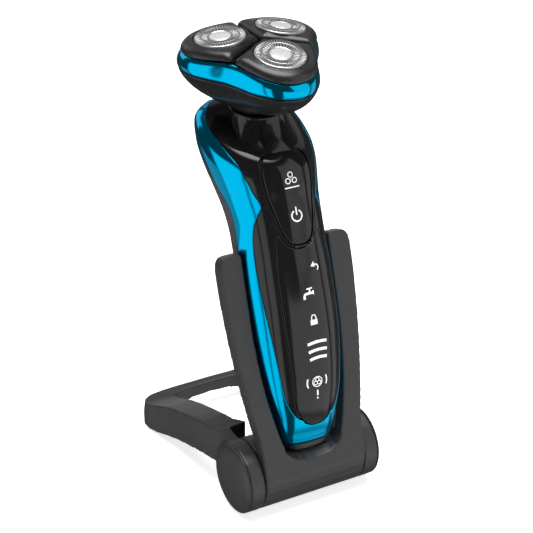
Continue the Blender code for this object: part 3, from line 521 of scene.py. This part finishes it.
def cover(name, level, look, body, nodes, roll=0.3, depth=1.6, gap=0.12, crown=False):
    """A shell cut from the body's surface where level is positive, with rolled edges."""
    points, normals, faces = cut_surface(level - (gap + roll))
    shading = crowned(normals, points) if crown else normals
    # The grid's faces may wind either way: check one against its normal.
    a, b, c = faces[len(faces) // 2][:3]
    turned = np.dot(np.cross(points[b] - points[a], points[c] - points[b]), normals[a]) < 0
    rim, ways_out = open_rim(points, normals, faces, turned)
    arc = [(roll * sin(t), roll * (1 - cos(t)), t) for t in (0.4, 0.8, 1.2, pi / 2)]
    arc.append((roll, depth, pi / 2))
    new_points, new_normals, rings = list(points), list(shading), []
    for reach, drop, lean_angle in arc:
        ring = {}
        for v, out in ways_out.items():
            ring[v] = len(new_points)
            new_points.append(points[v] + out * reach - normals[v] * drop)
            new_normals.append(normals[v] * cos(lean_angle) + out * sin(lean_angle))
        rings.append(ring)
    back = {}
    for v in range(len(points)):
        back[v] = len(new_points)
        new_points.append(points[v] - normals[v] * depth)
        new_normals.append(-normals[v])
    for v, out in ways_out.items():
        new_points[back[v]] = points[v] + out * (roll - 0.1) - normals[v] * depth
    all_faces = [tuple(face) for face in faces]
    previous = {v: v for v in ways_out}
    for ring in rings + [back]:
        for a, b in rim:
            all_faces.append((previous[b], previous[a], ring[a], ring[b]))
        previous = ring
    all_faces += [tuple(back[v] for v in reversed(face)) for face in faces]
    if turned:
        all_faces = [tuple(reversed(face)) for face in all_faces]
    return made_object(name, new_points, all_faces, look.material, LEAN, new_normals,
                       body, nodes)


cover("rear_grip_skin", behind, grip, "shaver", ["rear_grip"], 0.35)
trim_level = np.minimum(np.minimum(-ahead, -behind), -on_panel)
cover("side_trim_skin", trim_level, blue, "shaver", ["side_trim"], 0.3,
      crown=True)
upper_level = np.minimum(np.minimum(ahead, above), np.minimum(-on_button, neck_gap()))
cover("upper_housing_skin", upper_level, gloss, "shaver", ["upper_housing"], 0.2)
lower_level = np.minimum(np.minimum(ahead, -above), -on_panel)
cover("lower_housing_skin", lower_level, gloss, "shaver", ["lower_housing"], 0.22)
cover("display_panel_skin", np.minimum(on_panel, -above), gloss, "shaver",
      ["display_panel"], 0.5, 0.9)
# The press moves a tilted edge along the surface, so the gap grows towards the top.
press_room = 0.22 + 0.4 * np.clip((grid_h - 122.0) / 14.0, 0.0, 1.0)
cover("power_button_skin", on_button - press_room, gloss, "button",
      ["power_button"], 0.8, 1.3)


def inner_core():
    """Dark structure seen down the seams, well inside the covers."""
    below_skin = 2.3
    loops = []
    for height in np.concatenate([[13.6], np.arange(18.0, 158.0, 5.0), [159.0]]):
        ring = body_points(np.arange(72) * 2 * pi / 72, np.full(72, height))
        centre = ring.mean(0)
        away = ring - centre
        size = np.linalg.norm(away, axis=1, keepdims=True)
        loops.append(centre + away * np.clip(1 - below_skin / size, 0.1, 1.0))
    return loft("seam_backing", loops, inner_dark.material, LEAN, "shaver")


inner_core()


# ---- Printed symbols -------------------------------------------------------
def on_front(x, h, lift):
    """A point over the body's front surface, given across and height."""
    half, centre, front, back, power = rows_at(SECTIONS, np.array([float(h)]))[0]
    share = min(0.999, abs(x) / half)
    fore = centre + (front - centre) * (1 - share ** power) ** (1 / power)
    slope = rows_at(SECTIONS, np.array([h - 0.5, h + 0.5]))[:, 2]
    rise = slope[1] - slope[0]
    side = x / half * (front - centre) / half
    normal = Vector((side, -1.0, -rise)).normalized()
    return Vector((x, -fore, h)) + normal * lift


class Printing:
    """Flat shapes that stand a little over the front surface and reach a little into it."""

    def __init__(self, thick=0.08, sunk=-0.05):
        self.points, self.faces, self.thick, self.sunk = [], [], thick, sunk

    def plate(self, corners):
        base = len(self.points)
        for lift in (self.thick, self.sunk):
            self.points += [tuple(on_front(x, h, lift)) for x, h in corners]
        n = len(corners)
        self.faces.append(tuple(base + i for i in range(n)))
        self.faces.append(tuple(base + n + i for i in reversed(range(n))))
        for i in range(n):
            j = (i + 1) % n
            self.faces.append((base + j, base + i, base + n + i, base + n + j))

    def stroke(self, corners, width, closed=False):
        """A line of one width through corners, in short steps that follow the surface."""
        line = []
        for (ax, ah), (bx, bh) in zip(corners, corners[1:] + corners[:1] * closed):
            steps = max(1, int(hypot(bx - ax, bh - ah) / 0.6))
            line += [(ax + (bx - ax) * k / steps, ah + (bh - ah) * k / steps)
                     for k in range(steps)]
        if not closed:
            line.append(corners[-1])
        left, right = [], []
        n = len(line)
        for i in range(n):
            ax, ah = line[(i - 1) % n] if closed or i else line[0]
            bx, bh = line[(i + 1) % n] if closed or i < n - 1 else line[-1]
            size = hypot(bx - ax, bh - ah) or 1.0
            nx, nh = -(bh - ah) / size * width / 2, (bx - ax) / size * width / 2
            left.append((line[i][0] + nx, line[i][1] + nh))
            right.append((line[i][0] - nx, line[i][1] - nh))
        base = len(self.points)
        for i in range(n):
            for (x, h), lift in ((left[i], self.thick), (right[i], self.thick),
                                 (right[i], self.sunk), (left[i], self.sunk)):
                self.points.append(tuple(on_front(x, h, lift)))
        for i in range(n if closed else n - 1):
            a, b = base + 4 * i, base + 4 * ((i + 1) % n)
            for k in range(4):
                m = (k + 1) % 4
                self.faces.append((a + k, a + m, b + m, b + k))
        if not closed:
            self.faces.append((base, base + 3, base + 2, base + 1))
            end = base + 4 * (n - 1)
            self.faces.append((end, end + 1, end + 2, end + 3))

    def arc(self, x, h, radius, start, end, width, count=24):
        line = []
        for i in range(count + 1):
            t = radians(start + (end - start) * i / count)
            line.append((x + radius * cos(t), h + radius * sin(t)))
        if abs(end - start) >= 360:
            self.stroke(line[:-1], width, True)
        else:
            self.stroke(line, width)

    def disc(self, x, h, radius, count=20):
        self.plate([(x + radius * cos(2 * pi * i / count), h + radius * sin(2 * pi * i / count))
                    for i in range(count)])

    def done(self, name, body):
        made = made_object(name, self.points, self.faces, glowing_print_white.material, LEAN)
        outward(made.data)
        return settle(made, body)


def button_signs():
    """Power sign, and a neutral mark of three rings over a bar."""
    signs = Printing()
    signs.arc(0.0, 113.6, 2.35, 118, 422, 0.62, 36)
    signs.stroke([(0.0, 113.9), (0.0, 117.3)], 0.66)
    for x, h in ((-1.5, 128.4), (1.5, 128.4), (0.0, 130.9)):
        signs.arc(x, h, 1.05, 0, 360, 0.42, 24)
    signs.stroke([(-3.4, 125.6), (3.4, 125.6)], 0.5)
    signs.done("button_symbols", "button")


def padlock(signs, x, h):
    signs.plate([(x - 1.65, h), (x + 1.65, h), (x + 1.65, h + 2.2), (x - 1.65, h + 2.2)])
    signs.stroke([(x - 1.05, h + 2.2), (x - 1.05, h + 3.3), (x - 0.75, h + 4.0), (x, h + 4.35),
                  (x + 0.75, h + 4.0), (x + 1.05, h + 3.3), (x + 1.05, h + 2.2)], 0.42)


def tap(signs):
    """Spout and body, stem, handle and the flange behind."""
    signs.stroke([(-2.6, 78.1), (-2.6, 79.4), (-2.2, 80.2), (-0.6, 80.4), (1.6, 80.4)], 1.0)
    signs.stroke([(0.1, 80.6), (0.1, 82.2)], 0.75)
    signs.stroke([(-1.3, 82.4), (1.5, 82.4)], 0.6)
    signs.stroke([(1.8, 79.5), (1.8, 81.3)], 0.55)


def charge_bars(signs):
    """Three bars that bend down at their ends."""
    for height, reach in ((58.8, 4.7), (55.3, 4.5), (51.9, 4.2)):
        line = []
        for i in range(17):
            t = i / 8 - 1
            line.append((0.9 + reach * t, height - 0.55 * t * t + 0.15))
        signs.stroke(line, 1.25)


def shaving_head(signs, x, h):
    """Three small rings in a ring, between two marks."""
    for turn in (90, 210, 330):
        signs.arc(x + 0.95 * cos(radians(turn)), h + 0.95 * sin(radians(turn)), 0.85,
                  0, 360, 0.34, 16)
    signs.arc(x, h, 2.25, 0, 360, 0.36, 30)
    signs.arc(x, h, 4.7, 155, 205, 0.6, 10)
    signs.arc(x, h, 4.7, -25, 25, 0.6, 10)


def panel_signs():
    signs = Printing()
    # Curved arrow.
    signs.arc(4.9, 90.4, 1.35, -60, 150, 0.55, 18)
    signs.plate([(2.4, 91.4), (4.2, 93.2), (4.4, 90.8)])
    tap(signs)
    padlock(signs, 0.3, 66.6)
    charge_bars(signs)
    shaving_head(signs, -0.5, 41.2)
    # Exclamation mark.
    signs.stroke([(-0.5, 34.9), (-0.5, 37.4)], 0.75)
    signs.disc(-0.5, 33.7, 0.42)
    signs.done("panel_symbols", "shaver")


button_signs()
panel_signs()


# ---- Neck ------------------------------------------------------------------
def neck_ring(part, wide, deep, nod):
    """A ring of the neck, from its top at part 0 to its foot at part 1."""
    tilt = nod * (1 - part)
    top_fore = HEAD_PLACE[0] + NECK_TOP * sin(nod)
    top_height = HEAD_PLACE[1] + NECK_TOP * cos(nod)
    middle_fore = top_fore + (NECK_FOOT[0] - top_fore) * part ** 1.3
    middle_height = top_height + (NECK_FOOT[1] - top_height) * part
    ring = []
    for i in range(120):
        t = 2 * pi * i / 120
        x, reach = wide * cos(t), deep * sin(t)
        ring.append((x, -(middle_fore + reach * cos(tilt)), middle_height - reach * sin(tilt)))
    return ring


def neck_rings():
    """The bore's rings upwards, then the outside's rings down to the foot."""
    nod = atan2(up.y, up.z) - atan2(head_up.y, head_up.z)
    # Part of the way down, and how much wider and deeper than the neck's radius.
    stages = [(0.0, -0.5, -0.5), (0.012, -0.1, -0.1), (0.03, 0.0, 0.0), (0.10, -0.15, -0.3),
              (0.22, 0.0, -0.5), (0.4, 0.5, -0.4), (0.55, 1.2, -0.1), (0.7, 2.3, 0.4),
              (0.85, 3.6, 0.7), (1.0, 4.2, 0.8)]
    bore = [neck_ring(part, NECK_BORE_R, NECK_BORE_R, nod) for part in (0.5, 0.25, 0.0)]
    outside = smooth_curve([(part, NECK_R + wide, NECK_R + deep)
                            for part, wide, deep in stages], 5)
    return bore + [neck_ring(max(0.0, part), wide, deep, nod) for part, wide, deep in outside]


loft("neck_collar_skin", neck_rings(), gloss.material, LEAN, "shaver",
     ["neck_collar"], sharp=60.0)


# ---- Head ------------------------------------------------------------------
def trefoil(level, inset=0.0, blend=0.0, round_to=12.4, climb=0.0, count=240):
    """A three-lobed loop, blended towards a circle and raised between the lobes."""
    loop = []
    for i in range(count):
        angle = 2 * pi * i / count
        wave = cos(3 * (angle + pi / 2))
        radius = (HEAD_MEAN_R + HEAD_LOBE * wave - inset) * (1 - blend) + round_to * blend
        loop.append((radius * cos(angle), radius * sin(angle), level + climb * (1 - wave) / 2))
    return loop


# Level, inset and climb of each loop.
band_rows = [(BAND_TOP - 0.25, 1.5, BAND_CLIMB), (BAND_TOP, 1.0, BAND_CLIMB),
             (BAND_TOP + 0.02, 0.75, BAND_CLIMB), (BAND_TOP - 0.1, 0.45, BAND_CLIMB),
             (BAND_TOP - 0.4, 0.2, BAND_CLIMB), (-7.3, -0.45, 1.7), (-8.2, -0.95, 0.9),
             (-9.4, -1.35, 0.25), (-10.6, -1.5, 0.0), (-11.6, -1.42, 0.0), (-12.0, -1.3, 0.0),
             (-12.22, -1.05, 0.0), (-12.3, -0.7, 0.0), (-12.3, 1.2, 0.0), (-10.0, 1.6, 0.2)]
loft("head_band_skin", [trefoil(k, inset, climb=climb) for k, inset, climb in band_rows],
     blue.material, HEAD, "head", ["head_band"], ring=True, sharp=70.0)

# Level, inset and blend towards the round neck.
bowl_rows = smooth_curve([
    (-12.55, -0.55, 0.0), (-12.75, -0.85, 0.0), (-13.6, -0.75, 0.0), (-15.4, -0.3, 0.02),
    (-17.4, 0.1, 0.07), (-19.4, 0.4, 0.15), (-21.4, 0.65, 0.26), (-23.2, 0.8, 0.40),
    (-24.9, 0.8, 0.56), (-26.6, 0.8, 0.77), (-27.8, 0.5, 0.92), (-28.5, 0.1, 0.99)], 3)
bowl_loops = [trefoil(k, inset, blend) for k, inset, blend in bowl_rows]
bowl_loops += [trefoil(BOWL_BOTTOM, 0.0, 1.0, 11.9), trefoil(BOWL_BOTTOM, 0.0, 1.0, 9.1),
               trefoil(-25.0, 0.0, 1.0, 9.1), trefoil(-21.6, 2.6, 0.40),
               trefoil(BAND_BOTTOM - 0.25, 1.2)]
loft("head_bowl_skin", bowl_loops, bowl_gloss.material, HEAD, "head", ["head_bowl"],
     ring=True, sharp=60.0)


def pad_edge(turn, inset):
    """Distance from a face's middle to its pad's edge in one direction."""
    low, high = 1.0, 24.0
    corner = 1.8
    for _ in range(18):
        reach = (low + high) / 2
        out, side = DISC_PCD_R + reach * cos(turn), reach * sin(turn)
        where = hypot(out, side)
        bearing = abs(asin(max(-1.0, min(1.0, side / where)))) if out > 0 else pi
        rim = HEAD_MEAN_R + HEAD_LOBE * cos(3 * bearing) - inset - where
        slack = out * sin(pi / 3) - abs(side) * cos(pi / 3) - PAD_GROOVE - inset
        # The two limits meet in a rounded corner.
        worst = min(rim, slack)
        if 0 < rim < corner and 0 < slack < corner:
            worst = corner - hypot(corner - rim, corner - slack)
        if worst > 0:
            low = reach
        else:
            high = reach
    return (low + high) / 2


def pad_loops():
    """Loops of a holder, from its underside over the top and down the hole for the guard."""
    count = 144
    clear_of_band = 0.36
    hole_r = 11.3
    angles = [2 * pi * i / count for i in range(count)]
    # Inset from the edge, and drop below the splayed face; None is the underside.
    rims = [(0.25, None), (0.02, -4.4), (0.0, -3.4), (0.1, -2.75), (0.35, -2.1), (0.8, -1.45),
            (1.5, -0.85), (2.4, -0.42), (3.4, -0.15), (4.2, -0.03)]
    loops = []

    def plane(out, side, drop):
        return (out, side, -(out - DISC_PCD_R) * tan(DISC_SPLAY) + drop)

    for inset, drop in rims:
        loop = []
        for turn in angles:
            reach = max(pad_edge(turn, inset), DISC_RADIUS + 1.0 - min(inset, 3.0) * 0.1)
            out, side = DISC_PCD_R + reach * cos(turn), reach * sin(turn)
            base = BAND_TOP + clear_of_band + PAD_CLIMB * (1 - cos(3 * atan2(side, out))) / 2
            if drop is None:
                loop.append((out, side, base))
            else:
                x, y, z = plane(out, side, drop)
                loop.append((x, y, max(z, base + 0.15)))
        loops.append(loop)
    for radius, drop in ((11.95, 0.0), (11.75, 0.1), (11.5, 0.12), (11.34, 0.02), (hole_r, -0.2),
                         (hole_r, -1.6)):
        loops.append([plane(DISC_PCD_R + radius * cos(t), radius * sin(t), drop)
                      for t in angles])
    loops.append([(DISC_PCD_R + hole_r * cos(t), hole_r * sin(t), -5.2) for t in angles])
    return loops


def turned_ring(points, faces, profile, count):
    """Add a ring turned from a closed profile of radius and level."""
    base = len(points)
    for r, z in profile:
        points += [(r * cos(2 * pi * i / count), r * sin(2 * pi * i / count), z)
                   for i in range(count)]
    rows = len(profile)
    for row in range(rows):
        low, high = base + row * count, base + (row + 1) % rows * count
        for i in range(count):
            j = (i + 1) % count
            faces.append((low + i, low + j, high + j, high + i))


def slotted_guard():
    """Guard with two tracks of radial bars between solid rings."""
    bar_share = 0.54
    points, faces = [], []
    turned_ring(points, faces, [(4.75, 0.1), (4.85, 0.22), (5.2, 0.42), (5.45, 0.46), (5.45, -0.1),
                                (5.3, -0.45), (4.75, -0.45)], 96)
    turned_ring(points, faces, [(7.5, 0.56), (7.72, 0.50), (7.86, 0.28), (8.0, 0.18), (8.14, 0.28),
                                (8.28, 0.50), (8.5, 0.56), (8.5, -0.1), (8.3, -0.35),
                                (7.7, -0.35), (7.5, -0.1)], 96)
    turned_ring(points, faces, [(10.25, 0.50), (10.5, 0.44), (10.75, 0.28), (10.92, 0.02),
                                (11.0, -0.3), (11.0, -3.0), (10.4, -3.0), (10.4, -0.35),
                                (10.25, -0.1)], 96)
    # Inner and outer radius, number of bars, level at either end.
    tracks = ((5.40, 7.56, 36, 0.44, 0.56), (8.44, 10.3, 54, 0.56, 0.5))
    for inner, outer, bars, low_z, high_z in tracks:
        for bar in range(bars):
            base = len(points)
            for radius, level in ((inner, low_z), ((inner + outer) / 2, (low_z + high_z) / 2),
                                  (outer, high_z)):
                middle = 2 * pi * bar / bars
                share = pi / bars * bar_share
                for turn, drop in ((-share, 0.06), (-share * 0.7, 0.0), (share * 0.7, 0.0),
                                   (share, 0.06), (share, 0.5), (-share, 0.5)):
                    points.append((radius * cos(middle + turn), radius * sin(middle + turn),
                                   level - drop))
            for row in range(2):
                for k in range(6):
                    m = (k + 1) % 6
                    a, b = base + row * 6, base + row * 6 + 6
                    faces.append((a + k, a + m, b + m, b + k))
            faces.append(tuple(base + k for k in reversed(range(6))))
            faces.append(tuple(base + 12 + k for k in range(6)))
    return points, faces


guard_points, guard_faces = slotted_guard()
cap_profile = smooth_curve([(3.4, -0.9), (4.4, -0.72), (4.55, -0.5), (4.55, 0.25), (4.42, 0.46),
                            (4.1, 0.58), (3.5, 0.70), (2.4, 0.84), (1.2, 0.93), (0.05, 0.96)], 3)
pad_shape = pad_loops()
for label, degrees in LOBES.items():
    around = HEAD @ Matrix.Rotation(radians(degrees), 4, "Z")
    face = around @ Matrix.Translation((DISC_PCD_R, 0, 0)) @ Matrix.Rotation(DISC_SPLAY, 4, "Y")
    loft("pad_skin_" + label, pad_shape, head_satin.material, around, "face_" + label,
         ["pad_" + label], ring=True, sharp=75.0)
    guard = made_object("guard_" + label, guard_points, guard_faces, shaving.material, face)
    outward(guard.data)
    guard.data.shade_smooth()
    guard.data.set_sharp_from_angle(angle=radians(35.0))
    settle(guard, "face_" + label, ["outer_guard_" + label])
    loft("cap_" + label, lathe_loops(cap_profile, 72), bright.material, face, "face_" + label,
         ["centre_cap_" + label], sharp=60.0)


# ---- Stand -----------------------------------------------------------------
VOXEL = 0.45


def ramp(value, start, end):
    """Zero up to start, one from end on."""
    return max(0.0, min(1.0, (value - start) / (end - start)))


def fuller_arms(point):
    """Give back what the melting takes off the arms' outer sides."""
    most = 0.55
    across, rise = point.x / MM, (point.z - hinge.z) / MM
    grown = most * ramp(abs(across), 22.0, 28.0) * ramp(rise, 16.0, 30.0)
    return point + Vector((grown * MM * (1 if across > 0 else -1), 0.0, 0.0))


def fuller_leg(point):
    """Raise the leg's crown a little towards its rear bar."""
    most = 0.9
    back, rise = (point.y - hinge.y) / MM, (point.z - hinge.z) / MM
    middle = 2.0 - 0.14 * back
    return point + Vector((0.0, 0.0, MM * most * ramp(back, 20.0, 60.0)
                           * ramp(rise, middle - 2.0, middle + 2.5)))


def moulded(name, node, body, look, smooth, fuller):
    """The node's solid with its hard edges melted into moulded fillets."""
    mesh = frame["nodes"][node].data.copy()
    source = bpy.data.objects.new(name + "_source", mesh)
    bpy.context.scene.collection.objects.link(source)
    mesh.transform(Matrix.Scale(1 / MM, 4))
    outward(mesh, 1e-4)
    remesh = source.modifiers.new("melt", "REMESH")
    remesh.mode = "VOXEL"
    remesh.voxel_size = VOXEL
    remesh.use_smooth_shade = True
    soften = source.modifiers.new("soften", "SMOOTH")
    soften.factor = 0.5
    soften.iterations = smooth
    bpy.context.view_layer.update()
    ready = source.evaluated_get(bpy.context.evaluated_depsgraph_get())
    melted = bpy.data.meshes.new_from_object(ready)
    melted.name = name
    melted.transform(Matrix.Scale(MM, 4))
    for vertex in melted.vertices:
        vertex.co = fuller(vertex.co.copy())
    melted.materials.clear()
    melted.materials.append(look.material)
    melted.shade_smooth()
    made = bpy.data.objects.new(name, melted)
    bpy.context.scene.collection.objects.link(made)
    bpy.data.objects.remove(source, do_unlink=True)
    return settle(made, body, [node])


moulded("stand_frame_skin", "stand_frame", "stand", stand_satin, 3,
        fuller_arms)
moulded("stand_leg_skin", "stand_leg", "leg", stand_satin, 4, fuller_leg)

cap_dome = smooth_curve([(0.05, CAP_OUT), (4.0, CAP_OUT - 0.02), (8.0, CAP_OUT - 0.08),
                         (11.5, CAP_OUT - 0.3), (13.8, CAP_OUT - 0.75), (15.2, CAP_OUT - 1.4),
                         (15.9, CAP_OUT - 2.0), (16.0, KNUCKLE_OUT + 0.35)], 4)
cap_rows = [tuple(p) for p in cap_dome] + [
    (15.8, KNUCKLE_OUT + 0.15), (PIN_HOLE_R, KNUCKLE_OUT + 0.15), (PIN_HOLE_R, CAP_INSIDE),
    (0.05, CAP_INSIDE)]
for side, sign in (("left", -1), ("right", 1)):
    where = BARREL @ Matrix.Rotation(radians(90.0 * sign), 4, "Y")
    loft("end_cap_skin_" + side, lathe_loops(cap_rows, 128), stand_satin.material, where, "leg",
         ["end_cap_" + side], sharp=50.0)

# ---- Carried-over nodes get their materials --------------------------------
CARRIED = {
    "foot_strip": rubber, "leg_foot_left": rubber, "leg_foot_right": rubber, "neck_seal": rubber,
    "hinge_pin": steel, "friction_washer_left": steel, "friction_washer_right": steel,
    "motor": steel, "motor_shaft": steel, "drive_shaft": steel, "board_screw_low": steel,
    "board_screw_high": steel, "bottom_cap": inner_dark, "charge_pin_left": brass,
    "charge_pin_right": brass, "chassis": inner_dark, "battery": cell_wrap,
    "circuit_board": board_green, "light_guide": gear_white, "button_switch": inner_dark,
    "neck_pivot": inner_dark, "gear_plate": inner_dark, "drive_gear": gear_white,
    "satellite_gear_left": gear_white, "satellite_gear_right": gear_white,
    "satellite_gear_front": gear_white, "inner_cutter_left": inner_dark,
    "inner_cutter_right": inner_dark, "inner_cutter_front": inner_dark,
}
for node, look in CARRIED.items():
    mesh = frame["nodes"][node].data
    mesh.materials.clear()
    mesh.materials.append(look.material)

# ---- Studio ----------------------------------------------------------------
floor_look = tinted("studio_floor", (0.93, 0.93, 0.93), 0.01, 0.0, 0.6, 3.0)
floor_look.rough(40.0, 0.55, 0.65)
floor_look.shader.inputs["Emission Color"].default_value = (1.0, 1.0, 1.0, 1.0)
floor_look.shader.inputs["Emission Strength"].default_value = 0.75
FLOOR_REACH = 60.0
FLOOR_DROP = 0.0002
floor_mesh = bpy.data.meshes.new("studio_floor")
floor_mesh.from_pydata([(x * FLOOR_REACH, y * FLOOR_REACH, 0)
                        for x, y in ((-1, -1), (1, -1), (1, 1), (-1, 1))], [], [(0, 1, 2, 3)])
floor = bpy.data.objects.new("studio_floor", floor_mesh)
bpy.context.scene.collection.objects.link(floor)
floor.data.materials.append(floor_look.material)
floor.location.z = -FLOOR_DROP
# Hidden from glossy rays, so that the dark plastics stay dark.
floor.visible_glossy = False


def area_light(name, place, target, size, energy):
    data = bpy.data.lights.new(name, "AREA")
    data.shape = "SQUARE"
    data.size = size
    data.energy = energy
    made = bpy.data.objects.new(name, data)
    bpy.context.scene.collection.objects.link(made)
    made.location = place
    made.rotation_euler = (Vector(target) - Vector(place)).to_track_quat("-Z", "Y").to_euler()
    return made


area_light("top", (0.25, 0.35, 2.4), (0, 0, 0.1), 1.2, 9.0)

world = bpy.data.worlds.new("studio")
bpy.context.scene.world = world
world.use_nodes = True
sky = world.node_tree
background = sky.nodes["Background"]
direction = sky.nodes.new("ShaderNodeTexCoord").outputs["Generated"]
parts = sky.nodes.new("ShaderNodeSeparateXYZ")
sky.links.new(direction, parts.inputs[0])


def sky_math(operation, a, b=0.0):
    """Output of a Math node of the world, from numbers or sockets."""
    made = sky.nodes.new("ShaderNodeMath")
    made.operation = operation
    for socket, value in zip(made.inputs, (a, b)):
        if isinstance(value, (int, float)):
            socket.default_value = value
        else:
            sky.links.new(value, socket)
    return made.outputs[0]


bearing = sky_math("ARCTAN2", parts.outputs["X"], sky_math("MULTIPLY", parts.outputs["Y"], -1.0))
height_up = parts.outputs["Z"]


def window(value, low, high, soft):
    """One between low and high, falling softly to nothing outside."""
    edges = []
    for at, start, end in ((low, 0.0, 1.0), (high, 1.0, 0.0)):
        step = sky.nodes.new("ShaderNodeMapRange")
        step.interpolation_type = "SMOOTHSTEP"
        sky.links.new(value, step.inputs["Value"])
        for key, number in (("From Min", at - soft), ("From Max", at + soft), ("To Min", start),
                            ("To Max", end)):
            step.inputs[key].default_value = number
        edges.append(step.outputs["Result"])
    return sky_math("MULTIPLY", *edges)


# Each card: bearings from the front in degrees, heights as sines, strength.
CARDS = [
    (-70, -55, -0.62, 0.11, 0.95), (-25, 64, -0.62, 0.11, 0.95),
    (-28, 64, -0.80, -0.66, 0.6), (8, 64, 0.13, 0.78, 0.85),
    (-116, -74, -0.60, 0.28, 1.0), (-150, -118, -0.60, -0.30, 0.4), (70, 92, -0.56, 0.20, 0.65),
    (100, 175, 0.35, 0.70, 0.35), (-178, -142, 0.20, 0.70, 0.8), (140, 178, -0.3, 0.2, 0.5),
]
OVERHEAD, AMBIENT = 6.0, 0.07
glow = sky_math("MULTIPLY", window(height_up, 0.91, 1.2, 0.03), OVERHEAD)
glow = sky_math("ADD", glow, AMBIENT)
for start, end, low, high, strength in CARDS:
    card = sky_math("MULTIPLY", window(bearing, radians(start), radians(end), radians(2.0)),
                    window(height_up, low, high, 0.04))
    glow = sky_math("ADD", glow, sky_math("MULTIPLY", card, strength))
sky.links.new(glow, background.inputs["Strength"])
background.inputs["Color"].default_value = (1.0, 1.0, 1.0, 1.0)

# ---- Camera, its place in millimetres from the hinge -----------------------
CAMERA_PLACE = (-311.48, -517.19, 403.33)
AZIMUTH, ELEVATION, ROLL = radians(-29.68), radians(27.0), radians(0.34)
SENSOR, LENS = 36.0, 109.0334
camera_data = bpy.data.cameras.new("camera")
camera = bpy.data.objects.new("camera", camera_data)
bpy.context.scene.collection.objects.link(camera)
camera.location = hinge + Vector(CAMERA_PLACE) * MM
back_axis = Vector((sin(AZIMUTH) * cos(ELEVATION), -cos(AZIMUTH) * cos(ELEVATION), sin(ELEVATION)))
flat_right = Vector((cos(AZIMUTH), sin(AZIMUTH), 0.0))
flat_up = back_axis.cross(flat_right)
right = flat_right * cos(ROLL) + flat_up * sin(ROLL)
over = -flat_right * sin(ROLL) + flat_up * cos(ROLL)
camera.rotation_euler = Matrix((right, over, back_axis)).transposed().to_euler()
camera_data.sensor_width = SENSOR
camera_data.lens = LENS
camera_data.clip_start = 0.01
camera_data.clip_end = 50.0
bpy.context.scene.camera = camera
bpy.context.scene.view_settings.view_transform = "Standard"
